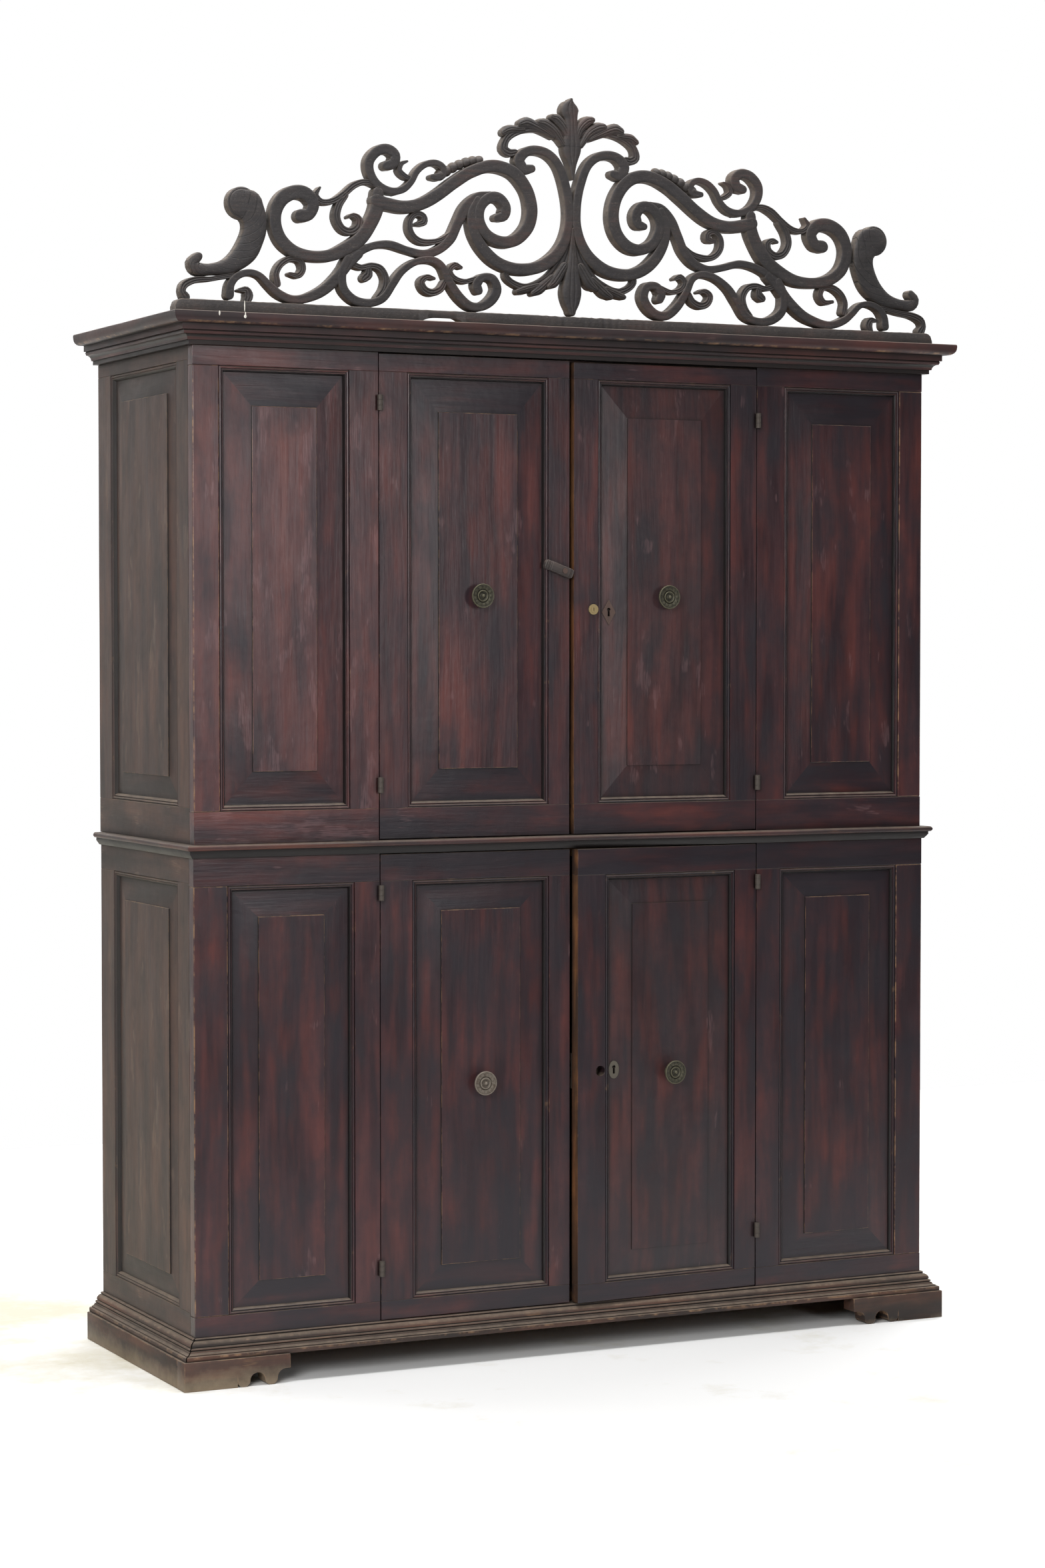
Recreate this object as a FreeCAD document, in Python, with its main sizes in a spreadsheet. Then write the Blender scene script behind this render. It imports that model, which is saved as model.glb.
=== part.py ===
import FreeCAD, Part
import math
import os
import re

# Two-part cupboard with a pierced scrollwork crest.
# Millimetres, +Z up. The origin is under the middle of the cupboard, on the floor.
# The front faces -Y, and the left of the cupboard, as seen from the front, is -X.

Vec = FreeCAD.Vector
Z_AXIS = Vec(0, 0, 1)

# Driving sizes, by the piece that carries them
SIZES = {
    # case
    "case_width": 1800,
    "lower_depth": 592,
    "upper_depth": 602,
    "setback": 3,
    "foot_height": 62,
    "base_height": 43,
    "lower_case_height": 1013,
    "waist_height": 28,
    "upper_case_height": 1046,
    "cornice_height": 66,
    "board": 20,
    "back_board": 16,
    "back_gap": 1,
    "back_plank_count": 8,
    # front leaves
    "leaf_thickness": 28,
    "left_leaf_share": 426 / 1800,
    "right_leaf_share": 441 / 1800,
    "left_door_share": 456 / 1800,
    "right_door_share": 462 / 1800,
    "hinge_gap": 2,
    "door_gap": 2.5,
    "upper_right_drop": 2.5,
    "ajar_angle": 2.2,
    "upper_low_rail": 69,
    "upper_top_rail": 41,
    "lower_low_rail": 43,
    "lower_top_rail": 60,
    "upper_left_outer_stile": 59,
    "upper_left_inner_stile": 67,
    "upper_right_inner_stile": 71,
    "upper_right_outer_stile": 61,
    "upper_left_door_outer_stile": 66,
    "upper_left_door_inner_stile": 51,
    "upper_right_door_inner_stile": 60,
    "upper_right_door_outer_stile": 66,
    "lower_left_outer_stile": 77,
    "lower_left_inner_stile": 58,
    "lower_right_inner_stile": 60,
    "lower_right_outer_stile": 70,
    "lower_left_door_outer_stile": 75,
    "lower_left_door_inner_stile": 51,
    "lower_right_door_inner_stile": 70,
    "lower_right_door_outer_stile": 55,
    # side leaves
    "upper_side_stile_front": 70,
    "upper_side_stile_back": 83,
    "lower_side_stile_front": 67,
    "lower_side_stile_back": 87,
    "upper_side_low_rail": 77,
    "upper_side_top_rail": 29,
    "lower_side_low_rail": 49,
    "lower_side_top_rail": 54,
    # panels
    "panel_recess": 10,
    "panel_edge": 8,
    "groove_depth": 8,
    "tongue_slack": 0.5,
    "bead_width": 13,
    "bead_proud": 8.5,
    "upper_bevel": 62,
    "lower_bevel": 57,
    "upper_bevel_end": 70,
    "lower_bevel_end": 55,
    "side_bevel": 51,
    "side_bevel_end": 49,
    "bevel_rise": 5,
    "field_step": 2.5,
    # cornice
    "ring_inner": 30,
    "cornice_nose": 59,
    "cornice_nose_edge": 9,
    "cornice_ovolo_drop": 15,
    "cornice_ovolo_width": 16,
    "cornice_fascia": 33.5,
    "cornice_fascia_drop": 13,
    "cornice_bead": 28,
    "cornice_bead_drop": 8,
    "cornice_cove_width": 12,
    "cornice_cove_drop": 12,
    "cornice_foot": 12,
    # waist and base mouldings
    "waist_torus": 18.6,
    "waist_torus_drop": 12,
    "waist_fillet": 11.4,
    "waist_fillet_drop": 6,
    "waist_foot": 4,
    "base_low": 33,
    "base_low_rise": 11,
    "base_round": 27.7,
    "base_round_rise": 10,
    "base_slope": 18.6,
    "base_slope_rise": 14,
    "base_top": 4,
    # feet
    "plinth": 38,
    "plinth_thickness": 45,
    "foot_flat": 120,
    "foot_lobe": 14,
    "foot_arch": 17,
    "foot_notch": 12,
    "foot_length": 240,
    "foot_cove": 20,
    # crest
    "crest_board_height": 30,
    "crest_board_thickness": 34,
    "crest_board_overhang": 30,
    "crest_board_cove": 16,
    "crest_inset": 12,
    "crest_thickness": 26,
    "crest_modules": 180,
    "squeeze_share": 1.8,
    "squeeze_start_share": 9,
    "squeeze_end_share": 72,
    # shelves
    "shelf_front": 60,
    "shelf_slack": 0.5,
    "cleat_height": 32,
    "cleat_thickness": 18,
    "cleat_end": 40,
    # hinges
    "knuckle_radius": 6,
    "knuckle_length": 11,
    "knuckle_gap": 0.3,
    "hinge_stand_off": 7,
    "hinge_pin_radius": 2.5,
    "hinge_pin_fit": 0.05,
    "hinge_plate": 1.6,
    "hinge_mortise": 1,
    "hinge_plate_reach": 24,
    "hinge_plate_start": 0.8,
    "hinge_tab_start": 4,
    "upper_left_hinge_rise": 100,
    "upper_left_hinge_drop": 122,
    "upper_right_hinge_rise": 90,
    "upper_right_hinge_drop": 131.5,
    "lower_left_hinge_rise": 96,
    "lower_left_hinge_drop": 99,
    "lower_right_hinge_rise": 111,
    "lower_right_hinge_drop": 102,
    # knobs
    "knob_diameter": 53,
    "knob_projection": 30,
    "upper_knob_height": 524,
    "lower_knob_height": 503,
    # turn button
    "button_long_arm": 49,
    "button_short_arm": 23,
    "button_width": 21,
    "button_thickness": 12,
    "button_stand_off": 0.6,
    "button_angle": 20,
    "button_inset": 17,
    "button_height": 580,
    "button_screw_radius": 3,
    "button_screw_head": 6,
    "button_screw_head_height": 1.5,
    "button_head_gap": 0.3,
    "button_screw_depth": 18,
    "button_bore_fit": 0.06,
    # slide bolts inside the left doors
    "bolt_radius": 5,
    "bolt_fit": 0.08,
    "bolt_length": 190,
    "bolt_top_gap": 4,
    "bolt_plate_drop": 22,
    "bolt_inset": 30,
    "bolt_plate_width": 36,
    "bolt_plate_height": 150,
    "bolt_plate_thickness": 2,
    "bolt_guide_width": 18,
    "bolt_guide_height": 12,
    "bolt_guide_depth": 21,
    "bolt_stand_off": 12,
    "bolt_knob_radius": 4,
    "bolt_knob_length": 17,
    "bolt_hole_slack": 2.5,
    # locks inside the right doors
    "lock_width": 104,
    "lock_height": 78,
    "lock_depth": 15,
    "upper_lock_height": 496,
    "lower_lock_height": 514,
    "lock_bolt_height": 18,
    "lock_bolt_thickness": 8,
    "lock_bolt_length": 38,
    "lock_bolt_fit": 0.3,
    "lock_bolt_clearance": 3.5,
    "lock_bolt_back": 1,
    "cylinder_radius": 11.5,
    "cylinder_fit": 0.1,
    "cylinder_proud": 2.5,
    "upper_cylinder_inset": 48,
    "lower_cylinder_inset": 57.5,
    "plug_radius": 6.5,
    "plug_fit": 0.05,
    "plug_proud": 0.8,
    "plug_slot_width": 1.6,
    "plug_slot_height": 8,
    "plug_slot_depth": 6,
    "upper_keyhole_inset": 90.5,
    "lower_keyhole_inset": 96,
    "upper_keyhole_height": 490,
    "lower_keyhole_height": 514,
    "keyhole_rise": 6,
    "keyhole_depth": 14,
    "keyhole_radius": 4,
    "keyhole_slot": 5,
    "keyhole_drop": 15,
    "upper_escutcheon_width": 33,
    "upper_escutcheon_height": 57,
    "lower_escutcheon_width": 25,
    "lower_escutcheon_height": 40,
    "escutcheon_thickness": 1.5,
    "overrun": 2,
}

# Counts and shares that are not lengths
UPPER_SHELVES = 3
LOWER_SHELVES = 1
SCROLL_STEPS = 2
END_STEPS = 5
INSIDE_SHARE = 0.85
BEAD_SHARE = 0.38
QUIRK_SHARE = 0.25

# The left half of the crest as carved straps: centre points (across, up, width) in modules,
# measured from the middle of the top edge of the crest board
SCROLL_SHARES = {
    "centre_c": ((-10.1, 31.8, 1.8), (-11.9, 31.6, 2.4), (-13.1, 33.4, 2.6), (-11.7, 35.2, 2.2),
        (-9.2, 35.9, 2), (-6.1, 35.3, 2), (-3.7, 33.2, 2), (-2, 29.4, 2.1), (-1, 24.7, 2.1),
        (-1, 20.2, 2.1), (-2.1, 16.2, 2.4), (-4.7, 12.7, 2.7), (-8.7, 10.4, 2.7), (-13.7, 9.8, 2.6),
        (-18.2, 11, 2.6), (-21.7, 13.7, 2.6), (-24, 17.4, 2.4), (-24.5, 21.2, 2.2), (-23.2, 24.4, 1.4)),
    "big_s": ((-47.7, 23, 3.6), (-44.7, 22.2, 2.8), (-40.7, 21.8, 2.7), (-36.7, 22.6, 2.7),
        (-32.7, 24.8, 2.7), (-28.7, 27.7, 2.7), (-24.7, 30.2, 2.7), (-19.7, 31.8, 2.7),
        (-14.7, 30.8, 2.8), (-11.4, 27.4, 2.8), (-10.1, 23.2, 2.8), (-10.9, 19.2, 2.8),
        (-13.7, 16.3, 2.7), (-17.2, 15.5, 2.5), (-20.7, 16.8, 2.4), (-22.7, 19.8, 2.4),
        (-22.5, 22.7, 2.4), (-20.5, 24.8, 2.4), (-18.1, 25, 2.4), (-16.4, 23.2, 2.4),
        (-16.9, 21.2, 2.4), (-18.5, 20.7, 1.6)),
    "outer_c": ((-64.5, 18.6, 2.8), (-62.7, 19, 2.6), (-61.7, 21.2, 2.8), (-63.2, 23.2, 3),
        (-65.9, 23.5, 3), (-68.7, 22, 3), (-70.2, 19.2, 2.8), (-70.2, 16.2, 2.7), (-68.9, 13.2, 2.7),
        (-65.9, 11, 2.6), (-61.7, 10.2, 2.4), (-57.7, 10.6, 2.6), (-54.2, 12.2, 2.8), (-50.7, 14.6, 3),
        (-48.4, 17.9, 3), (-46.9, 21.2, 3), (-46.7, 24.4, 2.6)),
    "top_vine": ((-60.1, 24.8, 0.5), (-61, 23.2, 1.2), (-59.7, 21.9, 1.2), (-57.2, 22.1, 1.3),
        (-54.5, 23.8, 1.4), (-51.9, 25.9, 1.5), (-49.2, 26.7, 1.2), (-46.2, 25.7, 1.2),
        (-42.7, 24.6, 1)),
    "inner_hook": ((-54.2, 23.5, 1.4), (-55.7, 21.2, 1.6), (-56.2, 18.7, 1.7), (-55, 16.5, 1.7),
        (-53, 15.9, 1.7), (-51.3, 17, 1.7), (-51.1, 18.6, 1.6), (-52.4, 19.4, 1), (-53.4, 19, 0.7)),
    "top_c": ((-44.7, 30.4, 2), (-43.1, 31, 2.4), (-42.7, 32.7, 2.4), (-44.4, 33.9, 2.2),
        (-46.7, 33.4, 2.2), (-48.6, 31.2, 2.2), (-48.5, 28.7, 2), (-46.7, 26.2, 1.8), (-43.7, 25, 1.6),
        (-40.9, 25.5, 1.5), (-38.9, 27.2, 1.4), (-37.5, 29.6, 1.4), (-35.5, 31.2, 1.4),
        (-33.2, 31.7, 1.3), (-31.4, 30.8, 1.5), (-31.3, 29.2, 1.5), (-32.5, 28.7, 1.6),
        (-33.9, 28.6, 1.2)),
    "top_comma": ((-39.8, 31.6, 0.5), (-41.1, 31, 1), (-41.6, 29.6, 1.2), (-40.3, 28.4, 1.2),
        (-38.7, 27.9, 0.8)),
    "vine": ((-53.7, 9.7, 2.2), (-51.7, 11.2, 2), (-49.7, 12.4, 1.7), (-46.7, 13.4, 1.6),
        (-43.7, 13.6, 1.7), (-39.7, 12.6, 1.6), (-35.7, 12, 1.8), (-32.2, 13.2, 2), (-29.5, 15.7, 2.2),
        (-27.7, 19.2, 2.2), (-25.9, 22.4, 2.4), (-23.2, 25, 1.8), (-20.2, 25.8, 1)),
    "under_s": ((-37.4, 18.3, 0.8), (-35.9, 18.8, 1.6), (-35.9, 20, 1.4), (-37.5, 20.5, 1.3),
        (-39, 19.2, 1.3), (-39.2, 17.2, 1.4), (-38.2, 15.5, 1.4), (-36.5, 14.6, 1.4),
        (-34.2, 14.6, 1.3), (-31.7, 15.3, 1.1), (-29.5, 16.8, 0.8)),
    "low_a": ((-80.7, 1.2, 2), (-80.4, 3.4, 1.8), (-78.9, 5.2, 1.6), (-76.2, 6.1, 1.4),
        (-73.9, 5.6, 1.4), (-71.9, 3.8, 1.6), (-69.7, 2, 1.8), (-66.7, 0.9, 1.8), (-63.7, 1.2, 2),
        (-59.7, 2.9, 2.3), (-56.2, 5.9, 2.4), (-53.7, 8.9, 2.4), (-51.2, 11.2, 2)),
    "low_a_eye": ((-78.5, 2.3, 0.6), (-76.9, 2.4, 1.6), (-76.3, 1.2, 2), (-76.7, 0, 1.6)),
    "leaf_a": ((-69.9, 4, 1.6), (-70.1, 6.2, 1.4), (-69, 8.2, 1.4), (-66.7, 9.5, 1.4),
        (-64.7, 9.2, 1.4), (-64, 7.5, 1.4), (-65, 6, 1.3), (-67, 6.2, 0.8)),
    "low_b": ((-53.7, 10, 2), (-55, 7.2, 2), (-54.7, 3.7, 2), (-52.2, 1.4, 2), (-48.7, 0.9, 1.8),
        (-45.5, 2.1, 1.8), (-43.3, 5.2, 1.8), (-40.9, 8.2, 1.6), (-37.7, 10.2, 1.5),
        (-34.2, 10.8, 1.6), (-31.7, 9.7, 1.6), (-30.1, 6.7, 1.8), (-27.7, 3.4, 2), (-24.9, 1.3, 2),
        (-22.2, 1.3, 2), (-19.7, 2.9, 2.2), (-18.5, 5.2, 2.2), (-19.5, 7.4, 2), (-21.9, 7.6, 1.8),
        (-23.3, 6, 2.2), (-22.9, 4.8, 2)),
    "leaf_b": ((-52.7, 9, 1.4), (-50.5, 8.4, 1.2), (-48.2, 8.9, 1.3), (-46, 8.3, 1.5),
        (-44.8, 6.2, 1.6), (-45.3, 3.8, 1.6), (-46.7, 2, 1.4)),
    "leaf_b_eye": ((-48.9, 8.4, 1.2), (-48.9, 7, 2), (-49.7, 6.2, 1.8)),
    "leaf_c": ((-33.5, 6.8, 0.7), (-35.1, 7.1, 1.2), (-36.4, 6, 1.5), (-35.7, 4.4, 1.6),
        (-33.9, 3.8, 1.6), (-31.9, 4.6, 1.5), (-30.9, 6.2, 1.2)),
    "leaf_d": ((-27.1, 9.5, 0.8), (-28.5, 10, 1.3), (-29.7, 8.7, 1.3), (-28.7, 7.2, 1.2),
        (-26.2, 6.5, 1.1), (-23.7, 7.2, 1), (-21.9, 8, 0.8)),
    "end_disc": ((-79.4, 20.8, 6), (-77.9, 20.6, 6.6), (-76.3, 20.4, 6.8)),
    "end_body": ((-76.2, 20.2, 6.6), (-74.9, 17.2, 5.6), (-75.1, 14.2, 5.2), (-76.9, 10.4, 5),
        (-80.5, 7.4, 3.6), (-84.7, 6.4, 2.4), (-87.9, 6.4, 2.8), (-88.7, 7.6, 2.4), (-87.7, 8.8, 2)),
    "end_foot": ((-79.7, 5.4, 1), (-84.7, 4.4, 1), (-88.2, 4, 1.4), (-90.5, 3, 1.6), (-91.1, 1.6, 1.4),
        (-90.5, 0.4, 2)),
    "palm_stem": ((-0.4, 47.4, 0.8), (-0.6, 46.4, 3.4), (-0.6, 45, 4.6), (-0.3, 43.4, 3.4),
        (-0.2, 41.2, 3.4), (-0.1, 38.2, 4.6), (-0.1, 36.2, 4.6), (0, 33.2, 2.2), (0, 30.2, 0.6)),
    "palm_arm": ((-1.2, 37.7, 2), (-4.2, 40.2, 2.6), (-8.2, 41, 2.2), (-11.7, 40.6, 2.2),
        (-14.5, 39.2, 1.8), (-16.1, 37.6, 1.6), (-16.5, 35.8, 2), (-15.2, 35, 1.8), (-13.9, 35.2, 1.4)),
    "palm_1": ((-4.9, 43.4, 1), (-3.7, 43, 2.2), (-1.9, 41.2, 2.2), (-0.7, 38.2, 1.4)),
    "palm_2": ((-7.9, 42, 1.2), (-6.5, 41.8, 2.4), (-4.2, 40.4, 2.2), (-2.2, 37.7, 1.4)),
    "palm_3": ((-12.7, 41.4, 1.2), (-10.9, 41.8, 2.4), (-7.7, 40.7, 2), (-4.7, 39.2, 1.2)),
    "palm_4": ((-16.9, 39.2, 1), (-15.2, 40, 1.8), (-12.2, 40.2, 1.6)),
    "acan_centre": ((-0.1, 1.2, 2.2), (-0.1, 3, 4), (-0.1, 5.2, 5), (0, 7.4, 4.4), (0, 11.2, 3),
        (0, 16.2, 1.4), (0, 19.2, 0.5)),
    "acan_arm": ((-0.5, 16.7, 1), (-2.2, 12.2, 2.6), (-4.7, 8.7, 2.6), (-8.2, 6.7, 2), (-11.7, 6, 1.6),
        (-14.5, 6.8, 1.4), (-16, 8.2, 1.3), (-15.7, 9.6, 1.2), (-14.5, 9.8, 1)),
    "acan_1": ((-5.7, 6.4, 1.2), (-4.5, 7.4, 2.6), (-2.2, 10.7, 2.4)),
    "acan_2": ((-9.5, 4.8, 1.4), (-7.9, 5.8, 2.4), (-5.2, 8.2, 1.8)),
    "acan_3": ((-13.1, 5, 1.4), (-11.5, 5.5, 2), (-8.7, 6.4, 1.6)),
}
# Straps that stand on the middle line and are not repeated on the right
MIDDLE_STRAPS = ("palm_stem", "acan_centre")

# Turned section of a knob, from the wall out: (share of its diameter, share of its projection)
KNOB_SHARES = ((0.26, 0.0), (0.26, 0.1), (0.18, 0.2), (0.15, 0.34), (0.17, 0.5), (0.36, 0.64), (0.48, 0.7),
    (0.5, 0.78), (0.49, 0.92), (0.42, 0.94), (0.27, 0.86), (0.24, 0.94), (0.12, 0.9), (0.07, 1.0), (0.0, 1.0))

# Places that several pieces share, as sums of the driving sizes
FRONT = "((cornice_nose - setback - setback - upper_depth) / 2)"
UPPER_FRONT = f"({FRONT} + setback)"
LOWER_BACK = f"({FRONT} + lower_depth)"
UPPER_BACK = f"({UPPER_FRONT} + upper_depth)"
HALF = "(case_width / 2)"
UPPER_HALF = "(case_width / 2 - setback)"
BASE_TOP = "(foot_height + base_height)"
LOWER_TOP = f"({BASE_TOP} + lower_case_height)"
UPPER_FOOT = f"({LOWER_TOP} + waist_height)"
UPPER_TOP = f"({UPPER_FOOT} + upper_case_height)"
CORNICE_TOP = f"({UPPER_TOP} + cornice_height)"
MODULE = "(case_width / crest_modules)"
LEFT_LEAF = "(case_width * left_leaf_share)"
RIGHT_LEAF = "(case_width * right_leaf_share)"
LEFT_DOOR_WIDTH = "(case_width * left_door_share)"
RIGHT_DOOR_WIDTH = "(case_width * right_door_share)"
LEFT_EDGE = f"({LEFT_LEAF} - {HALF})"
RIGHT_EDGE = f"({HALF} - {RIGHT_LEAF})"
LEFT_DOOR = f"({LEFT_EDGE} + hinge_gap)"
LEFT_DOOR_END = f"({LEFT_DOOR} + {LEFT_DOOR_WIDTH})"
RIGHT_DOOR = f"({RIGHT_EDGE} - hinge_gap - {RIGHT_DOOR_WIDTH})"
LOWER_DOOR_FOOT = f"({BASE_TOP} + door_gap)"
UPPER_DOOR_FOOT = f"({UPPER_FOOT} + door_gap)"

doc = FreeCAD.newDocument("cupboard")
sheet = doc.addObject("Spreadsheet::Sheet", "dim")
for row, (alias, value) in enumerate(SIZES.items(), start=1):
    sheet.set(f"A{row}", alias)
    sheet.set(f"B{row}", str(value))
    sheet.setAlias(f"B{row}", alias)
probe = doc.addObject("App::FeaturePython", "probe")
probe.addProperty("App::PropertyFloat", "Value")
doc.recompute()
nodes = []


def bound(text):
    """The expression text with each size name pointed at the sheet."""
    return re.sub(r"[a-z][a-z0-9_]*", r"dim.\g<0>", str(text))


def size(text):
    """The present value of a sum of sizes."""
    probe.setExpression("Value", bound(text))
    probe.recompute()
    return probe.Value


def bind(item, **texts):
    for name, text in texts.items():
        item.setExpression(name, bound(text))


def place(item, x, y, z, axis=Z_AXIS, angle=0):
    """Stand an item at a bound place, turned by a fixed angle about an axis through it."""
    item.Placement = FreeCAD.Placement(Vec(), FreeCAD.Rotation(axis, angle))
    for name, text in zip("xyz", (x, y, z)):
        item.setExpression(f"Placement.Base.{name}", bound(text))
    return item


def block(name, x, y, z):
    """A box from three pairs of expression texts, each the low and the high end."""
    item = doc.addObject("Part::Box", name)
    bind(item, Length=f"{x[1]} - {x[0]}", Width=f"{y[1]} - {y[0]}", Height=f"{z[1]} - {z[0]}")
    return place(item, x[0], y[0], z[0])


def rod(name, radius, length, x, y, z, axis=None):
    """A cylinder that starts at a place and runs along +Z, or along +Y or +X."""
    item = doc.addObject("Part::Cylinder", name)
    bind(item, Radius=radius, Height=length)
    turns = {None: (Z_AXIS, 0), "y": (Vec(1, 0, 0), -90), "x": (Vec(0, 1, 0), 90)}
    return place(item, x, y, z, *turns[axis])


def cut(name, base, *tools):
    item = base
    for number, tool in enumerate(tools):
        step = doc.addObject("Part::Cut", f"{name}_{number}")
        step.Base = item
        step.Tool = tool
        item = step
    return item


def fuse(name, *items):
    item = doc.addObject("Part::MultiFuse", name)
    item.Shapes = list(items)
    item.Refine = True
    return item


def feature(name, shape):
    item = doc.addObject("Part::Feature", name)
    item.Shape = shape
    return item


def group(name, *items):
    item = doc.addObject("Part::Compound", name)
    item.Links = list(items)
    return item


def node(name, item):
    """Mark an item as a sub-part, named as its file."""
    item.Label = name
    nodes.append(item)
    return item


def ring(points):
    return Part.makePolygon(list(points) + [points[0]])


def quarter(start, end, hollow, steps=4):
    """Points of a quarter ellipse between two corners, bulging out or hollowed in."""
    points = []
    for number in range(steps + 1):
        turn = math.pi / 2 * number / steps
        across, along = (math.sin(turn), 1 - math.cos(turn))
        if hollow:
            across, along = (1 - math.cos(turn), math.sin(turn))
        points.append((start[0] + (end[0] - start[0]) * across, start[1] + (end[1] - start[1]) * along))
    return points


# One leaf of panelled framing, in its own frame: across +X, into the cupboard +Y, up +Z
class Leaf:
    def __init__(self, tag, width, height, stiles, rails, bevels):
        self.tag = tag
        self.width = width
        self.height = height
        self.stiles = stiles
        self.rails = rails
        self.bevels = bevels
        self.left = stiles[0]
        self.right = f"({width} - {stiles[1]})"
        self.low = rails[0]
        self.high = f"({height} - {rails[1]})"

    def opening(self, inset_x, inset_z):
        """The opening drawn in on all sides, as two pairs of expression texts."""
        across = (f"({self.left} + {inset_x})", f"({self.right} - {inset_x})")
        upward = (f"({self.low} + {inset_z})", f"({self.high} - {inset_z})")
        return across, upward

    def members(self, tools):
        """Rails over the full width with the stiles between them, grooved for the panel."""
        across, upward = self.opening("(0 - groove_depth)", "(0 - groove_depth)")
        depth = ("panel_recess", "(panel_recess + panel_edge)")
        groove = block(f"{self.tag}_groove", across, depth, upward)
        through = ("0", "leaf_thickness")
        spans = {
            "low_rail": (("0", self.width), ("0", self.low)),
            "top_rail": (("0", self.width), (self.high, self.height)),
            "left_stile": (("0", self.left), (self.low, self.high)),
            "right_stile": ((self.right, self.width), (self.low, self.high)),
        }
        pieces = []
        for name, (span, rise) in spans.items():
            piece = block(f"{self.tag}_{name}", span, through, rise)
            own = tools.get(name, ())
            pieces.append(cut(f"{self.tag}_{name}_worked", piece, groove, *own))
        return pieces

    def bead(self):
        """Four mitred strips of moulding nailed round the opening, over the panel's edge."""
        wide = size("bead_width")
        seat = size("panel_recess")
        rise = size("bead_proud")
        crown = wide * BEAD_SHARE
        quirk = rise * QUIRK_SHARE
        section = [(0, seat), (0, seat - rise)]
        section += quarter((0, seat - rise), (crown, seat - rise + quirk), False)
        section += quarter((crown, seat - rise + quirk), (wide, seat - quirk), False)
        section.append((wide, seat))
        left, right = size(self.left), size(self.right)
        low, high = size(self.low), size(self.high)
        corners = ((left, low, 1, 1), (right, low, -1, 1), (right, high, -1, -1), (left, high, 1, -1))
        strips = []
        for number, corner in enumerate(corners):
            ends = []
            for x, z, inward_x, inward_z in (corner, corners[(number + 1) % len(corners)]):
                ends.append(ring([Vec(x + inward_x * a, b, z + inward_z * a) for a, b in section]))
            strips.append(Part.makeLoft(ends, True, True))
        return feature(f"{self.tag}_bead", Part.makeCompound(strips))

    def panel(self, *tools):
        """A raised panel: tongue in the groove, bevel up to a step, and the flat field."""
        inset = "(tongue_slack - groove_depth)"
        across, upward = self.opening(inset, inset)
        depth = ("panel_recess", "(panel_recess + panel_edge)")
        tongue = block(f"{self.tag}_tongue", across, depth, upward)
        outer_x, outer_z = self.opening("bead_width", "bead_width")
        insets = [f"(bead_width + {bevel})" for bevel in self.bevels]
        field_x, field_z = self.opening(*insets)
        bevel = doc.addObject("Part::Wedge", f"{self.tag}_bevel")
        bind(bevel, Xmin=field_x[0], Xmax=field_x[1], Zmin=field_z[0], Zmax=field_z[1],
             X2min=outer_x[0], X2max=outer_x[1], Z2min=outer_z[0], Z2max=outer_z[1],
             Ymin="panel_recess - bevel_rise", Ymax="panel_recess")
        face = ("(panel_recess - bevel_rise - field_step)", "(panel_recess - bevel_rise)")
        field = block(f"{self.tag}_field", field_x, face, field_z)
        return cut(f"{self.tag}_panel_cut", fuse(f"{self.tag}_raised", tongue, bevel, field), *tools)

    def build(self, x, y, z, turn=0, tools=None, panel_tools=(), finish=lambda item: item):
        """Make the leaf's two nodes and stand them in the cupboard."""
        frame = group(f"{self.tag}_framing", *self.members(tools or {}), self.bead())
        node(f"{self.tag}_frame", finish(place(frame, x, y, z, Z_AXIS, turn)))
        panel = group(f"{self.tag}_field_panel", self.panel(*panel_tools))
        node(f"{self.tag}_panel", finish(place(panel, x, y, z, Z_AXIS, turn)))


def case_ring(name, half, front, back, foot, section):
    """A moulded frame between two stages: mitred front and side runs and a plain back rail.
    The section is a list of (outward, upward) points from the case face and the ring's underside."""
    reach, start, end, low = size(half), size(front), size(back), size(foot)
    inner = size("ring_inner")
    high = max(up for out, up in section)
    section = [(-inner, 0)] + section + [(-inner, high)]
    corners = ((-reach, end, -1, 0), (-reach, start, -1, -1), (reach, start, 1, -1), (reach, end, 1, 0))
    ends = []
    for x, y, out_x, out_y in corners:
        ends.append(ring([Vec(x + out_x * out, y + out_y * out, low + up) for out, up in section]))
    runs = [Part.makeLoft(list(pair), True, True) for pair in zip(ends, ends[1:])]
    rail = Part.makeBox(2 * (reach - inner), inner, high, Vec(inner - reach, end - inner, low))
    node(name, feature(f"{name}_runs", Part.makeCompound(runs + [rail])))


def base_moulding():
    low = size("base_low_rise")
    middle = low + size("base_round_rise")
    upper = middle + size("base_slope_rise")
    high = size("base_height")
    section = [(size("base_low"), 0), (size("base_low"), low)]
    section += quarter((size("base_round"), low), (size("base_slope"), middle), False)
    section += quarter((size("base_slope"), middle), (size("base_top"), upper), True)
    section.append((size("base_top"), high))
    case_ring("base_moulding", HALF, FRONT, LOWER_BACK, "foot_height", section)


def waist_moulding():
    high = size("waist_height")
    torus = high - size("waist_torus_drop")
    fillet = torus - size("waist_fillet_drop")
    nose = size("waist_torus")
    shoulder = nose - size("waist_torus_drop") / 2
    section = [(size("waist_foot"), 0), (size("waist_fillet"), fillet), (size("waist_fillet"), torus)]
    middle = (torus + high) / 2
    section += quarter((shoulder, torus), (nose, middle), False)
    section += quarter((nose, middle), (shoulder, high), True)[1:]
    case_ring("waist_moulding", HALF, FRONT, LOWER_BACK, LOWER_TOP, section)


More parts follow.
